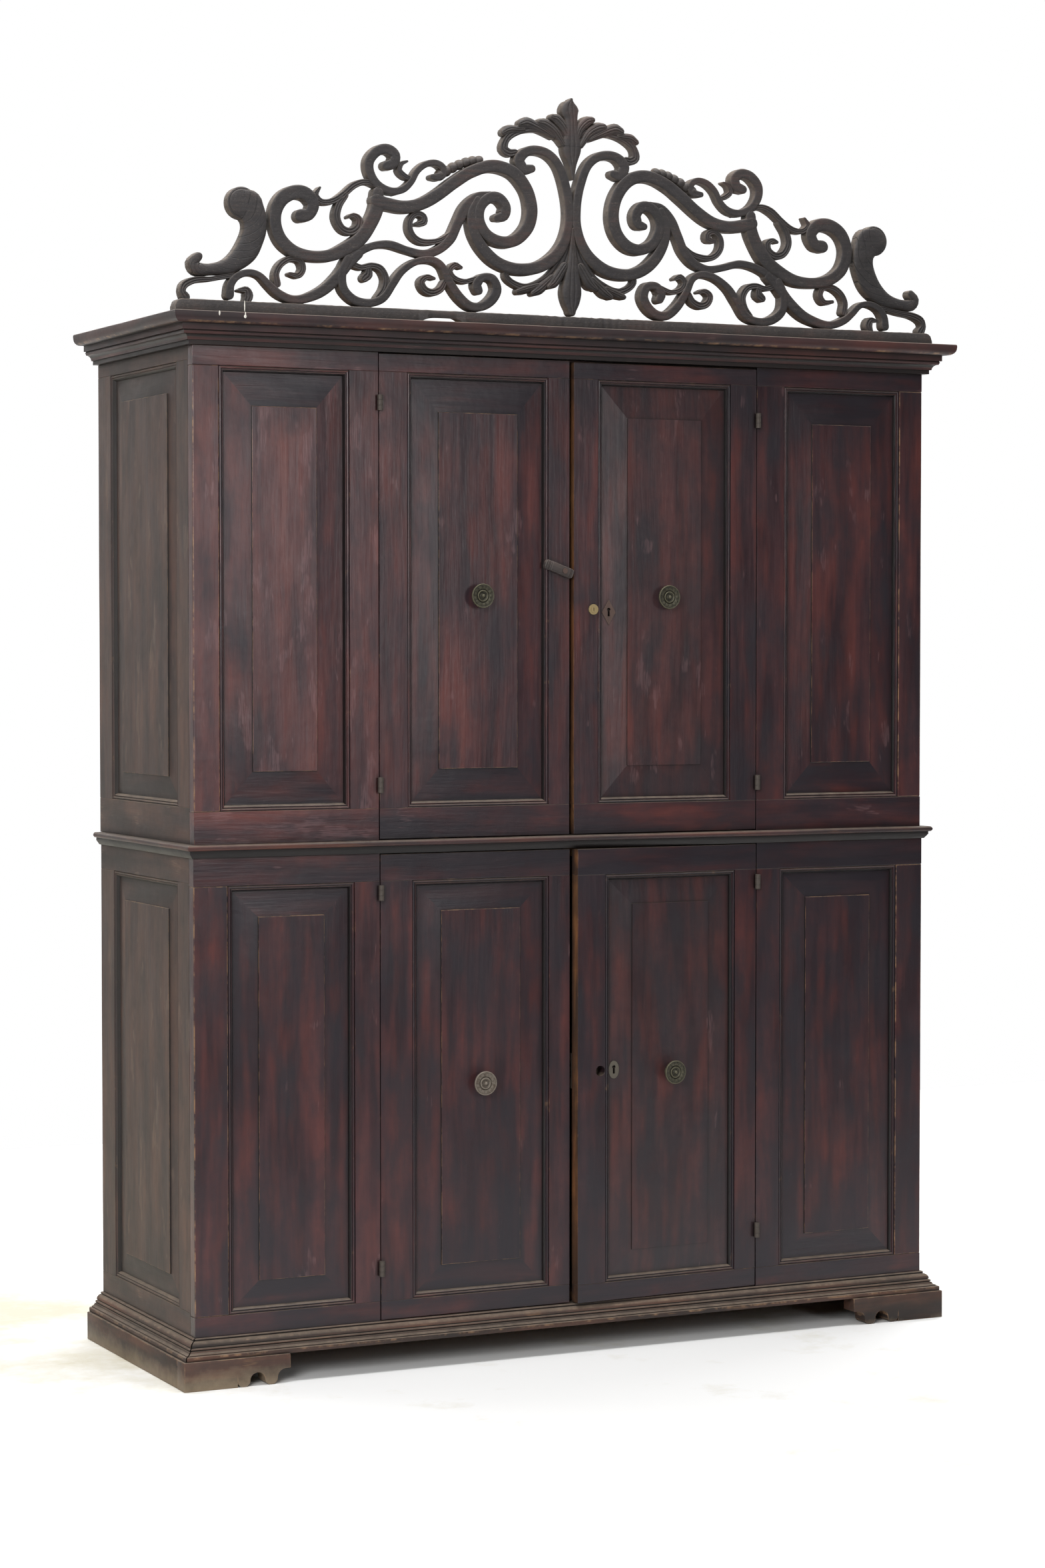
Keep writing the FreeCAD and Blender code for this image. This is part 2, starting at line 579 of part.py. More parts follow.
def cornice():
    high = size("cornice_height")
    nose = size("cornice_nose")
    edge = high - size("cornice_nose_edge")
    ovolo = edge - size("cornice_ovolo_drop")
    fascia = ovolo - size("cornice_fascia_drop")
    bead = fascia - size("cornice_bead_drop")
    cove = bead - size("cornice_cove_drop")
    inner = nose - size("cornice_ovolo_width")
    bed = size("cornice_bead") - size("cornice_cove_width")
    section = [(size("cornice_foot"), 0), (size("cornice_foot"), cove), (bed, cove)]
    section += quarter((bed, cove), (size("cornice_bead"), bead), True)
    section += [(size("cornice_bead"), fascia), (size("cornice_fascia"), fascia)]
    section += [(size("cornice_fascia"), ovolo), (inner, ovolo)]
    section += quarter((inner, ovolo), (nose, edge), False)
    section.append((nose, high))
    case_ring("cornice", UPPER_HALF, UPPER_FRONT, UPPER_BACK, UPPER_TOP, section)


def feet():
    """Bracket feet cut with two lobes and an arch, and plain plinth boards down the sides."""
    flat, lobe, arch = size("foot_flat"), size("foot_lobe"), size("foot_arch")
    notch, length, high = size("foot_notch"), size("foot_length"), size("foot_height")
    cove = size("foot_cove")
    first = flat + 2 * lobe
    second = first + 2 * arch
    third = second + 2 * lobe
    outline = [(0, 0), (flat, 0), (flat, notch)]
    outline += quarter((flat, notch), (flat + lobe, 0), True)[1:]
    outline += quarter((flat + lobe, 0), (first, notch), False)[1:]
    outline += quarter((first, notch), (first + arch, notch + arch), True)[1:]
    outline += quarter((first + arch, notch + arch), (second, notch), False)[1:]
    outline += quarter((second, notch), (second + lobe, 0), True)[1:]
    outline += quarter((second + lobe, 0), (third, notch), False)[1:]
    outline += quarter((third, notch), (third + cove, notch + cove), True)[1:]
    outline += [(length, notch + cove), (length, high), (0, high)]
    plinth, thick = size("plinth"), size("plinth_thickness")
    corner = size(HALF) + plinth
    front = size(FRONT) - plinth
    pieces = []
    for side in (-1, 1):
        face = Part.Face(ring([Vec(side * (corner - u), front, v) for u, v in outline]))
        pieces.append(face.extrude(Vec(0, thick, 0)))
    fronts = feature("bracket_feet", Part.makeCompound(pieces))
    depth = (f"({FRONT} - plinth + plinth_thickness)", LOWER_BACK)
    outer = f"({HALF} + plinth)"
    inner = f"({outer} - plinth_thickness)"
    left = block("left_plinth", (f"(0 - {outer})", f"(0 - {inner})"), depth, ("0", "foot_height"))
    right = block("right_plinth", (inner, outer), depth, ("0", "foot_height"))
    node("feet", group("feet_and_plinths", fronts, left, right))


def scroll_outline(points):
    """The face of one strap: offset both ways from a smooth centre line, with round ends.
    On the inside of a bend the offset stays within the bend's own radius."""
    centre = Part.BSplineCurve()
    centre.interpolate([Vec(x, 0, up) for x, up, width in points])
    stops = [centre.parameter(Vec(x, 0, up)) for x, up, width in points]
    sides = ([], [])
    for index in range(len(points) - 1):
        for step in range(SCROLL_STEPS):
            blend = step / SCROLL_STEPS
            place_on = stops[index] + (stops[index + 1] - stops[index]) * blend
            width = points[index][2] + (points[index + 1][2] - points[index][2]) * blend
            add_pair(centre, place_on, width, sides)
    add_pair(centre, stops[-1], points[-1][2], sides)
    first = round_end(centre, stops[0], points[0][2], -1)
    last = round_end(centre, stops[-1], points[-1][2], 1)
    outline = sides[0] + last + sides[1][::-1] + first
    face = Part.Face(ring(outline))
    if face.normalAt(0, 0).y > 0:
        face = Part.Face(ring(outline[::-1]))
    return face


def add_pair(centre, place_on, width, sides):
    spot = centre.value(place_on)
    along = centre.tangent(place_on)[0]
    across = Vec(along.z, 0, -along.x)
    bend = centre.curvature(place_on)
    inward = across
    if bend > 0:
        inward = centre.centerOfCurvature(place_on) - spot
    for sign, side in zip((1, -1), sides):
        reach = width / 2
        if bend > 0 and across.dot(inward) * sign > 0:
            reach = min(reach, INSIDE_SHARE / bend)
        side.append(spot + across * (reach * sign))


def round_end(centre, place_on, width, sign):
    spot = centre.value(place_on)
    along = centre.tangent(place_on)[0] * sign
    across = Vec(along.z, 0, -along.x)
    turns = [math.pi * number / END_STEPS for number in range(1, END_STEPS)]
    return [spot + (across * math.cos(turn) + along * math.sin(turn)) * (width / 2) for turn in turns]


def squeezed(across):
    """Where a point of the left half stands on the right half, whose middle scrolls sit closer in."""
    start, end = size("squeeze_start_share"), size("squeeze_end_share")
    away = abs(across)
    if start < away < end:
        away -= size("squeeze_share") * math.sin(math.pi * (away - start) / (end - start))
    return away


def crest():
    """The pierced scrollwork, sawn from one board, standing on a plain board above the cornice."""
    module = size(MODULE)
    thick = size("crest_thickness")
    faces = []
    for name, shares in SCROLL_SHARES.items():
        faces.append(scroll_outline([(a * module, b * module, c * module) for a, b, c in shares]))
        if name not in MIDDLE_STRAPS:
            mirrored = [(squeezed(a) * module, b * module, c * module) for a, b, c in shares]
            faces.append(scroll_outline(mirrored))
    straps = [face.extrude(Vec(0, thick, 0)) for face in faces]
    reach = size("case_width")
    above = Part.makeBox(2 * reach, thick, reach, Vec(-reach, 0, 0))
    sawn = straps[0].multiFuse(straps[1:]).common(above).removeSplitter()
    foot = size(CORNICE_TOP) + size("crest_board_height")
    front = size(FRONT) + size("crest_inset")
    board_thick = size("crest_board_thickness")
    scrollwork = feature("scrollwork", sawn)
    scrollwork.Placement = FreeCAD.Placement(Vec(0, front + (board_thick - thick) / 2, foot), FreeCAD.Rotation())
    node("crest_scrollwork", scrollwork)
    high, cove = size("crest_board_height"), size("crest_board_cove")
    end = size(f"({HALF} + crest_board_overhang)")
    outline = [(-end, 0), (end, 0)]
    outline += quarter((end, high - cove), (end - cove, high), True)
    outline += quarter((cove - end, high), (-end, high - cove), False)
    face = Part.Face(ring([Vec(u, 0, v) for u, v in outline]))
    board = feature("board_under_scrolls", face.extrude(Vec(0, board_thick, 0)))
    board.Placement = FreeCAD.Placement(Vec(0, front, size(CORNICE_TOP)), FreeCAD.Rotation())
    node("crest_board", board)


def back_planks(name, half, back, foot, top):
    """Upright planks nailed across the back, side by side."""
    count = int(size("back_plank_count"))
    reach = f"({half} - leaf_thickness)"
    wide = f"((2 * {reach} - back_gap * (back_plank_count - 1)) / back_plank_count)"
    planks = []
    for number in range(count):
        start = f"(({wide} + back_gap) * {number} - {reach})"
        planks.append(block(f"{name}_plank", (start, f"({start} + {wide})"),
                            (f"({back} - back_board)", back), (foot, top)))
    node(name, group(f"{name}_planks", *planks))


def boards(level, half, front, back, foot, top, count):
    """The bottom and top boards, the shelves on their cleats, and the planks behind them."""
    reach = f"({half} - leaf_thickness)"
    across = (f"(0 - {reach})", reach)
    depth = (f"({front} + leaf_thickness + door_gap)", f"({back} - back_board)")
    bottom = block(f"{level}_bottom", across, depth, (foot, f"({foot} + board)"))
    node(f"{level}_bottom_board", bottom)
    upper = block(f"{level}_top", across, depth, (f"({top} - board)", top))
    if level == "upper":
        hole = rod("bolt_hole", "bolt_radius + bolt_hole_slack", "board + 2 * overrun", BOLT_X, BOLT_Y,
                   f"({top} - board - overrun)")
        upper = cut("upper_top_drilled", upper, hole)
    node(f"{level}_top_board", upper)
    slack = (f"({across[0]} + shelf_slack)", f"({reach} - shelf_slack)")
    deep = (f"({front} + shelf_front)", f"({back} - back_board - shelf_slack)")
    cleat_deep = (f"({deep[0]} + cleat_end)", f"({deep[1]} - cleat_end)")
    clear = f"(({top} - {foot} - 2 * board) / ({count} + 1))"
    shelves = []
    cleats = []
    for number in range(1, count + 1):
        under = f"({foot} + board + {clear} * {number})"
        shelves.append(block(f"{level}_shelf", slack, deep, (under, f"({under} + board)")))
        rise = (f"({under} - cleat_height)", under)
        left = (across[0], f"({across[0]} + cleat_thickness)")
        right = (f"({reach} - cleat_thickness)", reach)
        cleats.append(block(f"{level}_left_cleat", left, cleat_deep, rise))
        cleats.append(block(f"{level}_right_cleat", right, cleat_deep, rise))
    node(f"{level}_shelves", group(f"{level}_shelf_set", *shelves))
    back_planks(f"{level}_back_boards", half, back, foot, top)
    return cleats


def hinge_places(name):
    """How far the lower and the upper hinge of a door start above the door's foot."""
    level = name[:-5]
    height = DOORS[name][4]
    return f"{level}_hinge_rise", f"({height} - {level}_hinge_drop)"


def hinge(tag, edge, side, front, low):
    """A butt hinge let into the two edges, with its knuckles standing proud of the front."""
    toward = "+" if side > 0 else "-"
    away = "-" if side > 0 else "+"
    axis_x = f"({edge} {toward} hinge_gap / 2)"
    axis_y = f"({front} - hinge_stand_off)"
    fixed = (f"({edge} {away} hinge_mortise)", f"({edge} {away} hinge_mortise {toward} hinge_plate)")
    moving_end = f"({edge} {toward} hinge_gap {toward} hinge_mortise)"
    moving = (f"({moving_end} {away} hinge_plate)", moving_end)
    if side < 0:
        fixed, moving = fixed[::-1], moving[::-1]
    stack = f"({low} + 3 * knuckle_length)"
    middle = (f"({low} + knuckle_length + knuckle_gap)", f"({low} + 2 * knuckle_length - knuckle_gap)")
    plate_y = (f"({axis_y} + knuckle_radius + hinge_plate_start)", f"({front} + hinge_plate_reach)")
    pieces = [block(f"{tag}_fixed_plate", fixed, plate_y, (low, stack))]
    pieces.append(rod(f"{tag}_pin", "hinge_pin_radius", "3 * knuckle_length", axis_x, axis_y, low))
    for start in (low, f"({low} + 2 * knuckle_length)"):
        span = (start, f"({start} + knuckle_length)")
        pieces.append(rod(f"{tag}_knuckle", "knuckle_radius", "knuckle_length", axis_x, axis_y, start))
        pieces.append(block(f"{tag}_tab", fixed, (axis_y, plate_y[0]), span))
    fixed_leaf = fuse(f"{tag}_fixed", *pieces)
    knuckle = rod(f"{tag}_middle", "knuckle_radius", "knuckle_length - 2 * knuckle_gap",
                  axis_x, axis_y, middle[0])
    tab = block(f"{tag}_door_tab", moving, (f"({axis_y} + hinge_tab_start)", plate_y[0]), middle)
    plate = block(f"{tag}_door_plate", moving, plate_y, (low, stack))
    bore = rod(f"{tag}_bore", "hinge_pin_radius + hinge_pin_fit", "knuckle_length", axis_x, axis_y,
               f"({low} + knuckle_length)")
    return fixed_leaf, cut(f"{tag}_moving", fuse(f"{tag}_door_leaf", knuckle, tab, plate), bore)


def let_in(tag, name, wide, on_right, lift):
    """The pockets in a stile's edge that take the two hinge plates of one door."""
    pockets = []
    for low in hinge_places(name):
        start = f"({low} + {lift})"
        span = ("(0 - overrun)", "hinge_mortise")
        if on_right:
            span = (f"({wide} - hinge_mortise)", f"({wide} + overrun)")
        rise = (start, f"({start} + 3 * knuckle_length)")
        pockets.append(block(f"{tag}_pocket", span, ("(0 - overrun)", "hinge_plate_reach"), rise))
    return pockets


def keyhole(tag, x, z, start, depth):
    """A round hole over a slot, seen from the front."""
    eye = rod(f"{tag}_eye", "keyhole_radius", depth, x, start, z, "y")
    span = (f"({x} - keyhole_slot / 2)", f"({x} + keyhole_slot / 2)")
    slot = block(f"{tag}_slot", span, (start, f"({start} + {depth})"), (f"({z} - keyhole_drop)", z))
    return [eye, slot]


def turned_knob(name, x, y, z):
    wide, deep = size("knob_diameter"), size("knob_projection")
    outline = [Vec(0, 0, 0)] + [Vec(a * wide, -b * deep, 0) for a, b in KNOB_SHARES]
    body = Part.Face(ring(outline)).revolve(Vec(), Vec(0, 1, 0), 360)
    return place(feature(name, body), x, y, z)


def swung(item):
    """The same item turned with the lower right door, which stands a little open at rest."""
    turned = group(f"{item.Name}_ajar", item)
    pivot = Vec(size(f"({RIGHT_EDGE} - hinge_gap / 2)"), size(f"({FRONT} - hinge_stand_off)"), 0)
    turned.Placement = FreeCAD.Placement(Vec(), FreeCAD.Rotation(Z_AXIS, size("ajar_angle")), pivot)
    return turned


# Each door: its left edge, foot, front plane, width, height, stiles, rails, bevels and hinge side
UPPER_RAILS = ("(upper_low_rail - door_gap)", "(upper_top_rail - door_gap)")
SHORT_RAILS = (UPPER_RAILS[0], "(upper_top_rail - door_gap - upper_right_drop)")
LOWER_RAILS = ("(lower_low_rail - door_gap)", "(lower_top_rail - door_gap)")
UPPER_BEVELS = ("upper_bevel", "upper_bevel_end")
LOWER_BEVELS = ("lower_bevel", "lower_bevel_end")
DOORS = {
    "upper_left_door": (LEFT_DOOR, UPPER_DOOR_FOOT, UPPER_FRONT, LEFT_DOOR_WIDTH,
        "(upper_case_height - 2 * door_gap)",
        ("upper_left_door_outer_stile", "upper_left_door_inner_stile"), UPPER_RAILS, UPPER_BEVELS, 1),
    "upper_right_door": (RIGHT_DOOR, UPPER_DOOR_FOOT, UPPER_FRONT, RIGHT_DOOR_WIDTH,
        "(upper_case_height - 2 * door_gap - upper_right_drop)",
        ("upper_right_door_inner_stile", "upper_right_door_outer_stile"), SHORT_RAILS, UPPER_BEVELS, -1),
    "lower_left_door": (LEFT_DOOR, LOWER_DOOR_FOOT, FRONT, LEFT_DOOR_WIDTH,
        "(lower_case_height - 2 * door_gap)",
        ("lower_left_door_outer_stile", "lower_left_door_inner_stile"), LOWER_RAILS, LOWER_BEVELS, 1),
    "lower_right_door": (RIGHT_DOOR, LOWER_DOOR_FOOT, FRONT, RIGHT_DOOR_WIDTH,
        "(lower_case_height - 2 * door_gap)",
        ("lower_right_door_inner_stile", "lower_right_door_outer_stile"), LOWER_RAILS, LOWER_BEVELS, -1),
}
# Where the slide bolt inside the upper left door stands
BOLT_X = f"({LEFT_DOOR_END} - bolt_inset)"
BOLT_Y = f"({UPPER_FRONT} + leaf_thickness + bolt_plate_thickness + bolt_stand_off)"


def door(name, tools, panel_tools):
    """One door leaf with its knob and the moving halves of its hinges."""
    x, foot, front, wide, high, stiles, rails, bevels, side = DOORS[name]
    finish = swung if name == "lower_right_door" else lambda item: item
    leaf = Leaf(name, wide, high, stiles, rails, bevels)
    level = name[:5]
    hinge_stile = "left_stile" if side > 0 else "right_stile"
    tools = dict(tools)
    tools[hinge_stile] = let_in(name, name, wide, side < 0, "0")
    leaf.build(x, front, foot, tools=tools, panel_tools=panel_tools, finish=finish)
    middle = f"({x} + ({leaf.left} + {leaf.right}) / 2)"
    seat = f"({front} + panel_recess - bevel_rise - field_step)"
    knob = turned_knob(f"{name}_turned_knob", middle, seat, f"({foot} + {level}_knob_height)")
    node(f"{name}_knob", finish(knob))
    edge = LEFT_EDGE if side > 0 else RIGHT_EDGE
    fixed, moving = [], []
    for number, low in enumerate(hinge_places(name)):
        halves = hinge(f"{name}_hinge_{number}", edge, side, front, f"({foot} + {low})")
        fixed.append(halves[0])
        moving.append(halves[1])
    node(f"{name}_hinge_leaves", finish(group(f"{name}_hinges", *moving)))
    return fixed


def turn_button():
    """The wooden button that holds the upper doors shut, on its round-headed screw."""
    x = f"({LEFT_DOOR_END} - button_inset)"
    z = f"({UPPER_DOOR_FOOT} + button_height)"
    face = "(0 - button_stand_off)"
    outer = "(0 - button_stand_off - button_thickness)"
    bar = block("button_bar", ("(0 - button_long_arm)", "button_short_arm"), (outer, face),
                ("(0 - button_width / 2)", "(button_width / 2)"))
    bore = rod("button_bore", "button_screw_radius + button_bore_fit", "button_thickness + 2 * overrun",
               "0", f"({outer} - overrun)", "0", "y")
    bar = place(group("button_bored", cut("button_cut", bar, bore)), x, UPPER_FRONT, z, Vec(0, 1, 0),
                size("button_angle"))
    node("turn_button", bar)
    head = f"({UPPER_FRONT} - button_stand_off - button_thickness - button_head_gap)"
    shank = rod("screw_shank", "button_screw_radius",
                f"({UPPER_FRONT} + button_screw_depth) - {head}", x, head, z, "y")
    cap = rod("screw_head", "button_screw_head", "button_screw_head_height", x,
              f"({head} - button_screw_head_height)", z, "y")
    node("turn_button_screw", fuse("screw", shank, cap))


def slide_bolt():
    """An upright bolt on the inside of the upper left door, drawn down, with two guides on a plate."""
    back = f"({UPPER_FRONT} + leaf_thickness)"
    face = f"({back} + bolt_plate_thickness)"
    top = f"({UPPER_TOP} - board - bolt_top_gap)"
    foot = f"({top} - bolt_length)"
    plate_top = f"({top} - bolt_plate_drop)"
    plate_foot = f"({plate_top} - bolt_plate_height)"
    half = "(bolt_plate_width / 2)"
    pieces = [block("bolt_plate", (f"({BOLT_X} - {half})", f"({BOLT_X} + {half})"), (back, face),
                    (plate_foot, plate_top))]
    guide = "(bolt_guide_width / 2)"
    for start in (plate_foot, f"({plate_top} - bolt_guide_height)"):
        rise = (start, f"({start} + bolt_guide_height)")
        pieces.append(block("bolt_guide", (f"({BOLT_X} - {guide})", f"({BOLT_X} + {guide})"),
                            (face, f"({face} + bolt_guide_depth)"), rise))
    bore = rod("guide_bore", "bolt_radius + bolt_fit", "bolt_plate_height + 2 * overrun", BOLT_X, BOLT_Y,
               f"({plate_foot} - overrun)")
    node("slide_bolt_guides", cut("guides_bored", fuse("guides", *pieces), bore))
    shaft = rod("bolt_shaft", "bolt_radius", "bolt_length", BOLT_X, BOLT_Y, foot)
    grip = rod("bolt_grip", "bolt_knob_radius", "bolt_knob_length", BOLT_X, BOLT_Y,
               f"(({plate_foot} + {plate_top}) / 2)", "y")
    node("slide_bolt", fuse("bolt_and_grip", shaft, grip))


def lock(name):
    """A rim lock on the inside of a right door: its case and its sliding bolt, drawn back."""
    x, foot, front, wide, high, stiles, rails, bevels, side = DOORS[name]
    level = name[:5]
    finish = swung if name == "lower_right_door" else lambda item: item
    back = f"({front} + leaf_thickness)"
    middle = f"({foot} + {level}_lock_height)"
    case = block(f"{level}_case", (x, f"({x} + lock_width)"), (back, f"({back} + lock_depth)"),
                 (f"({middle} - lock_height / 2)", f"({middle} + lock_height / 2)"))
    start = f"({x} + lock_bolt_back)"
    near = f"({back} + lock_bolt_clearance)"
    half = "(lock_bolt_height / 2)"
    channel = block(f"{level}_channel",
                    (f"({x} - overrun)", f"({start} + lock_bolt_length + lock_bolt_fit)"),
                    (f"({near} - lock_bolt_fit)", f"({near} + lock_bolt_thickness + lock_bolt_fit)"),
                    (f"({middle} - {half} - lock_bolt_fit)", f"({middle} + {half} + lock_bolt_fit)"))
    node(f"{level}_lock_case", finish(cut(f"{level}_case_cut", case, channel)))
    bolt = block(f"{level}_bolt", (start, f"({start} + lock_bolt_length)"),
                 (near, f"({near} + lock_bolt_thickness)"),
                 (f"({middle} - {half})", f"({middle} + {half})"))
    node(f"{level}_lock_bolt", finish(bolt))


def escutcheon(name, level, across, upright, sides):
    """A keyhole plate lying on the slope of the panel beside the stile."""
    x, foot, front, wide, high, stiles, rails, bevels, side = DOORS[name]
    finish = swung if name == "lower_right_door" else lambda item: item
    half_x, half_z, thick = size(across) / 2, size(upright) / 2, size("escutcheon_thickness")
    points = []
    for number in range(sides):
        turn = 2 * math.pi * number / sides
        points.append(Vec(half_x * math.cos(turn), -thick, half_z * math.sin(turn)))
    plate = feature(f"{level}_plate", Part.Face(ring(points)).extrude(Vec(0, thick, 0)))
    hole = keyhole(f"{level}_plate_hole", "0", "keyhole_rise", "(0 - escutcheon_thickness - overrun)",
                   "(escutcheon_thickness + 2 * overrun)")
    slope = math.degrees(math.atan(size("bevel_rise") / size(bevels[0])))
    start = f"({stiles[0]} + bead_width)"
    rise = f"({level}_keyhole_inset - {start}) * bevel_rise / {bevels[0]}"
    plate = group(f"{level}_escutcheon_plate", cut(f"{level}_plate_cut", plate, *hole))
    place(plate, f"({x} + {level}_keyhole_inset)", f"({front} + panel_recess - {rise})",
          f"({foot} + {level}_keyhole_height)", Z_AXIS, -slope)
    node(f"{level}_escutcheon", finish(plate))


def lock_cylinder():
    """The brass cylinder through the upper right door's stile, with its turning plug."""
    x, foot, front = DOORS["upper_right_door"][:3]
    centre, middle = f"({x} + upper_cylinder_inset)", f"({foot} + upper_lock_height)"
    start = f"({front} - cylinder_proud)"
    body = rod("cylinder_body", "cylinder_radius", "cylinder_proud + leaf_thickness",
               centre, start, middle, "y")
    bore = rod("cylinder_bore", "plug_radius + plug_fit", "cylinder_proud + leaf_thickness + 2 * overrun",
               centre, f"({start} - overrun)", middle, "y")
    node("lock_cylinder", cut("cylinder_bored", body, bore))
    plug = rod("plug_body", "plug_radius", "cylinder_proud + leaf_thickness", centre,
               f"({start} - plug_proud)", middle, "y")
    half = "(plug_slot_width / 2)"
    slot = block("plug_slot", (f"({centre} - {half})", f"({centre} + {half})"),
                 (f"({start} - plug_proud - overrun)", f"({start} + plug_slot_depth)"),
                 (f"({middle} - plug_slot_height / 2)", f"({middle} + plug_slot_height / 2)"))
    node("cylinder_plug", cut("plug_cut", plug, slot))


def lower_case():
    fixed_rails = ("lower_low_rail", "lower_top_rail")
    left_pockets = let_in("lower_left_leaf", "lower_left_door", LEFT_LEAF, True, "door_gap")
    left = Leaf("lower_left_leaf", LEFT_LEAF, "lower_case_height",
                ("lower_left_outer_stile", "lower_left_inner_stile"), fixed_rails, LOWER_BEVELS)
    left.build(f"(0 - {HALF})", FRONT, BASE_TOP, tools={"right_stile": left_pockets})
    right_pockets = let_in("lower_right_leaf", "lower_right_door", RIGHT_LEAF, False, "door_gap")
    right = Leaf("lower_right_leaf", RIGHT_LEAF, "lower_case_height",
                 ("lower_right_inner_stile", "lower_right_outer_stile"), fixed_rails, LOWER_BEVELS)
    right.build(RIGHT_EDGE, FRONT, BASE_TOP, tools={"left_stile": right_pockets})
    deep = "(lower_depth - leaf_thickness)"
    stiles = ("lower_side_stile_back", "lower_side_stile_front")
    rails = ("lower_side_low_rail", "lower_side_top_rail")
    bevels = ("side_bevel", "side_bevel_end")
    start = f"({FRONT} + leaf_thickness)"
    Leaf("lower_left_side", deep, "lower_case_height", stiles, rails, bevels).build(
        f"(0 - {HALF})", LOWER_BACK, BASE_TOP, -90)
    Leaf("lower_right_side", deep, "lower_case_height", stiles[::-1], rails, bevels).build(
        HALF, start, BASE_TOP, 90)
    return boards("lower", HALF, FRONT, LOWER_BACK, BASE_TOP, LOWER_TOP, LOWER_SHELVES)


def upper_case():
    fixed_rails = ("upper_low_rail", "upper_top_rail")
    wide = f"({LEFT_LEAF} - setback)"
    left_pockets = let_in("upper_left_leaf", "upper_left_door", wide, True, "door_gap")
    left = Leaf("upper_left_leaf", wide, "upper_case_height",
                ("upper_left_outer_stile", "upper_left_inner_stile"), fixed_rails, UPPER_BEVELS)
    left.build(f"(0 - {UPPER_HALF})", UPPER_FRONT, UPPER_FOOT, tools={"right_stile": left_pockets})
    wide = f"({RIGHT_LEAF} - setback)"
    right_pockets = let_in("upper_right_leaf", "upper_right_door", wide, False, "door_gap")
    right = Leaf("upper_right_leaf", wide, "upper_case_height",
                 ("upper_right_inner_stile", "upper_right_outer_stile"), fixed_rails, UPPER_BEVELS)
    right.build(RIGHT_EDGE, UPPER_FRONT, UPPER_FOOT, tools={"left_stile": right_pockets})
    deep = "(upper_depth - leaf_thickness)"
    stiles = ("upper_side_stile_back", "upper_side_stile_front")
    rails = ("upper_side_low_rail", "upper_side_top_rail")
    bevels = ("side_bevel", "side_bevel_end")
    start = f"({UPPER_FRONT} + leaf_thickness)"
    Leaf("upper_left_side", deep, "upper_case_height", stiles, rails, bevels).build(
        f"(0 - {UPPER_HALF})", UPPER_BACK, UPPER_FOOT, -90)
    Leaf("upper_right_side", deep, "upper_case_height", stiles[::-1], rails, bevels).build(
        UPPER_HALF, start, UPPER_FOOT, 90)
    return boards("upper", UPPER_HALF, UPPER_FRONT, UPPER_BACK, UPPER_FOOT, UPPER_TOP, UPPER_SHELVES)


def all_doors():
    """The four doors, with the holes that their own fittings need."""
    fixed = []
    through = "(leaf_thickness + 2 * overrun)"
    bore = "cylinder_radius + cylinder_fit"
    screw = rod("screw_hole", "button_screw_radius", "(overrun + button_screw_depth)",
                f"({LEFT_DOOR_WIDTH} - button_inset)", "(0 - overrun)", "button_height", "y")
    fixed += door("upper_left_door", {"right_stile": [screw]}, ())
    hole = rod("cylinder_hole", bore, through, "upper_cylinder_inset", "(0 - overrun)",
               "upper_lock_height", "y")
    eye = keyhole("upper_panel_hole", "upper_keyhole_inset", "(upper_keyhole_height + keyhole_rise)",
                  "0", "keyhole_depth")
    fixed += door("upper_right_door", {"left_stile": [hole]}, [hole] + eye)
    fixed += door("lower_left_door", {}, ())
    hole = rod("empty_hole", bore, through, "lower_cylinder_inset", "(0 - overrun)",
               "lower_lock_height", "y")
    eye = keyhole("lower_panel_hole", "lower_keyhole_inset", "(lower_keyhole_height + keyhole_rise)",
                  "0", "keyhole_depth")
    fixed += door("lower_right_door", {"left_stile": [hole]}, [hole] + eye)
    node("frame_hinge_leaves", group("all_fixed_hinge_leaves", *fixed))


feet()
base_moulding()
cleats = lower_case()
waist_moulding()
cleats += upper_case()
node("shelf_cleats", group("cleat_set", *cleats))
cornice()
crest()
all_doors()
turn_button()
slide_bolt()
lock("upper_right_door")
lock("lower_right_door")
lock_cylinder()
escutcheon("upper_right_door", "upper", "upper_escutcheon_width", "upper_escutcheon_height", 4)
escutcheon("lower_right_door", "lower", "lower_escutcheon_width", "lower_escutcheon_height", 20)
doc.recompute()

for item in doc.Objects:
    if "Invalid" in item.State or "Error" in item.State:
        raise RuntimeError(f"{item.Label} did not build: {item.State}")
os.makedirs("parts", exist_ok=True)
for item in nodes:
    if item.Shape.isNull() or not item.Shape.isValid() or not item.Shape.Solids:
        raise RuntimeError(f"{item.Label} is not a sound solid")
for item in nodes:
    item.Shape.exportStep(f"parts/{item.Label}.step")
    box = item.Shape.BoundBox
    print(f"{item.Label}: {len(item.Shape.Solids)} solids, {box.XLength:.1f} x {box.YLength:.1f} x {box.ZLength:.1f}")
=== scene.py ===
import math

import bmesh
import bpy
from mathutils import Matrix, Vector, geometry, noise


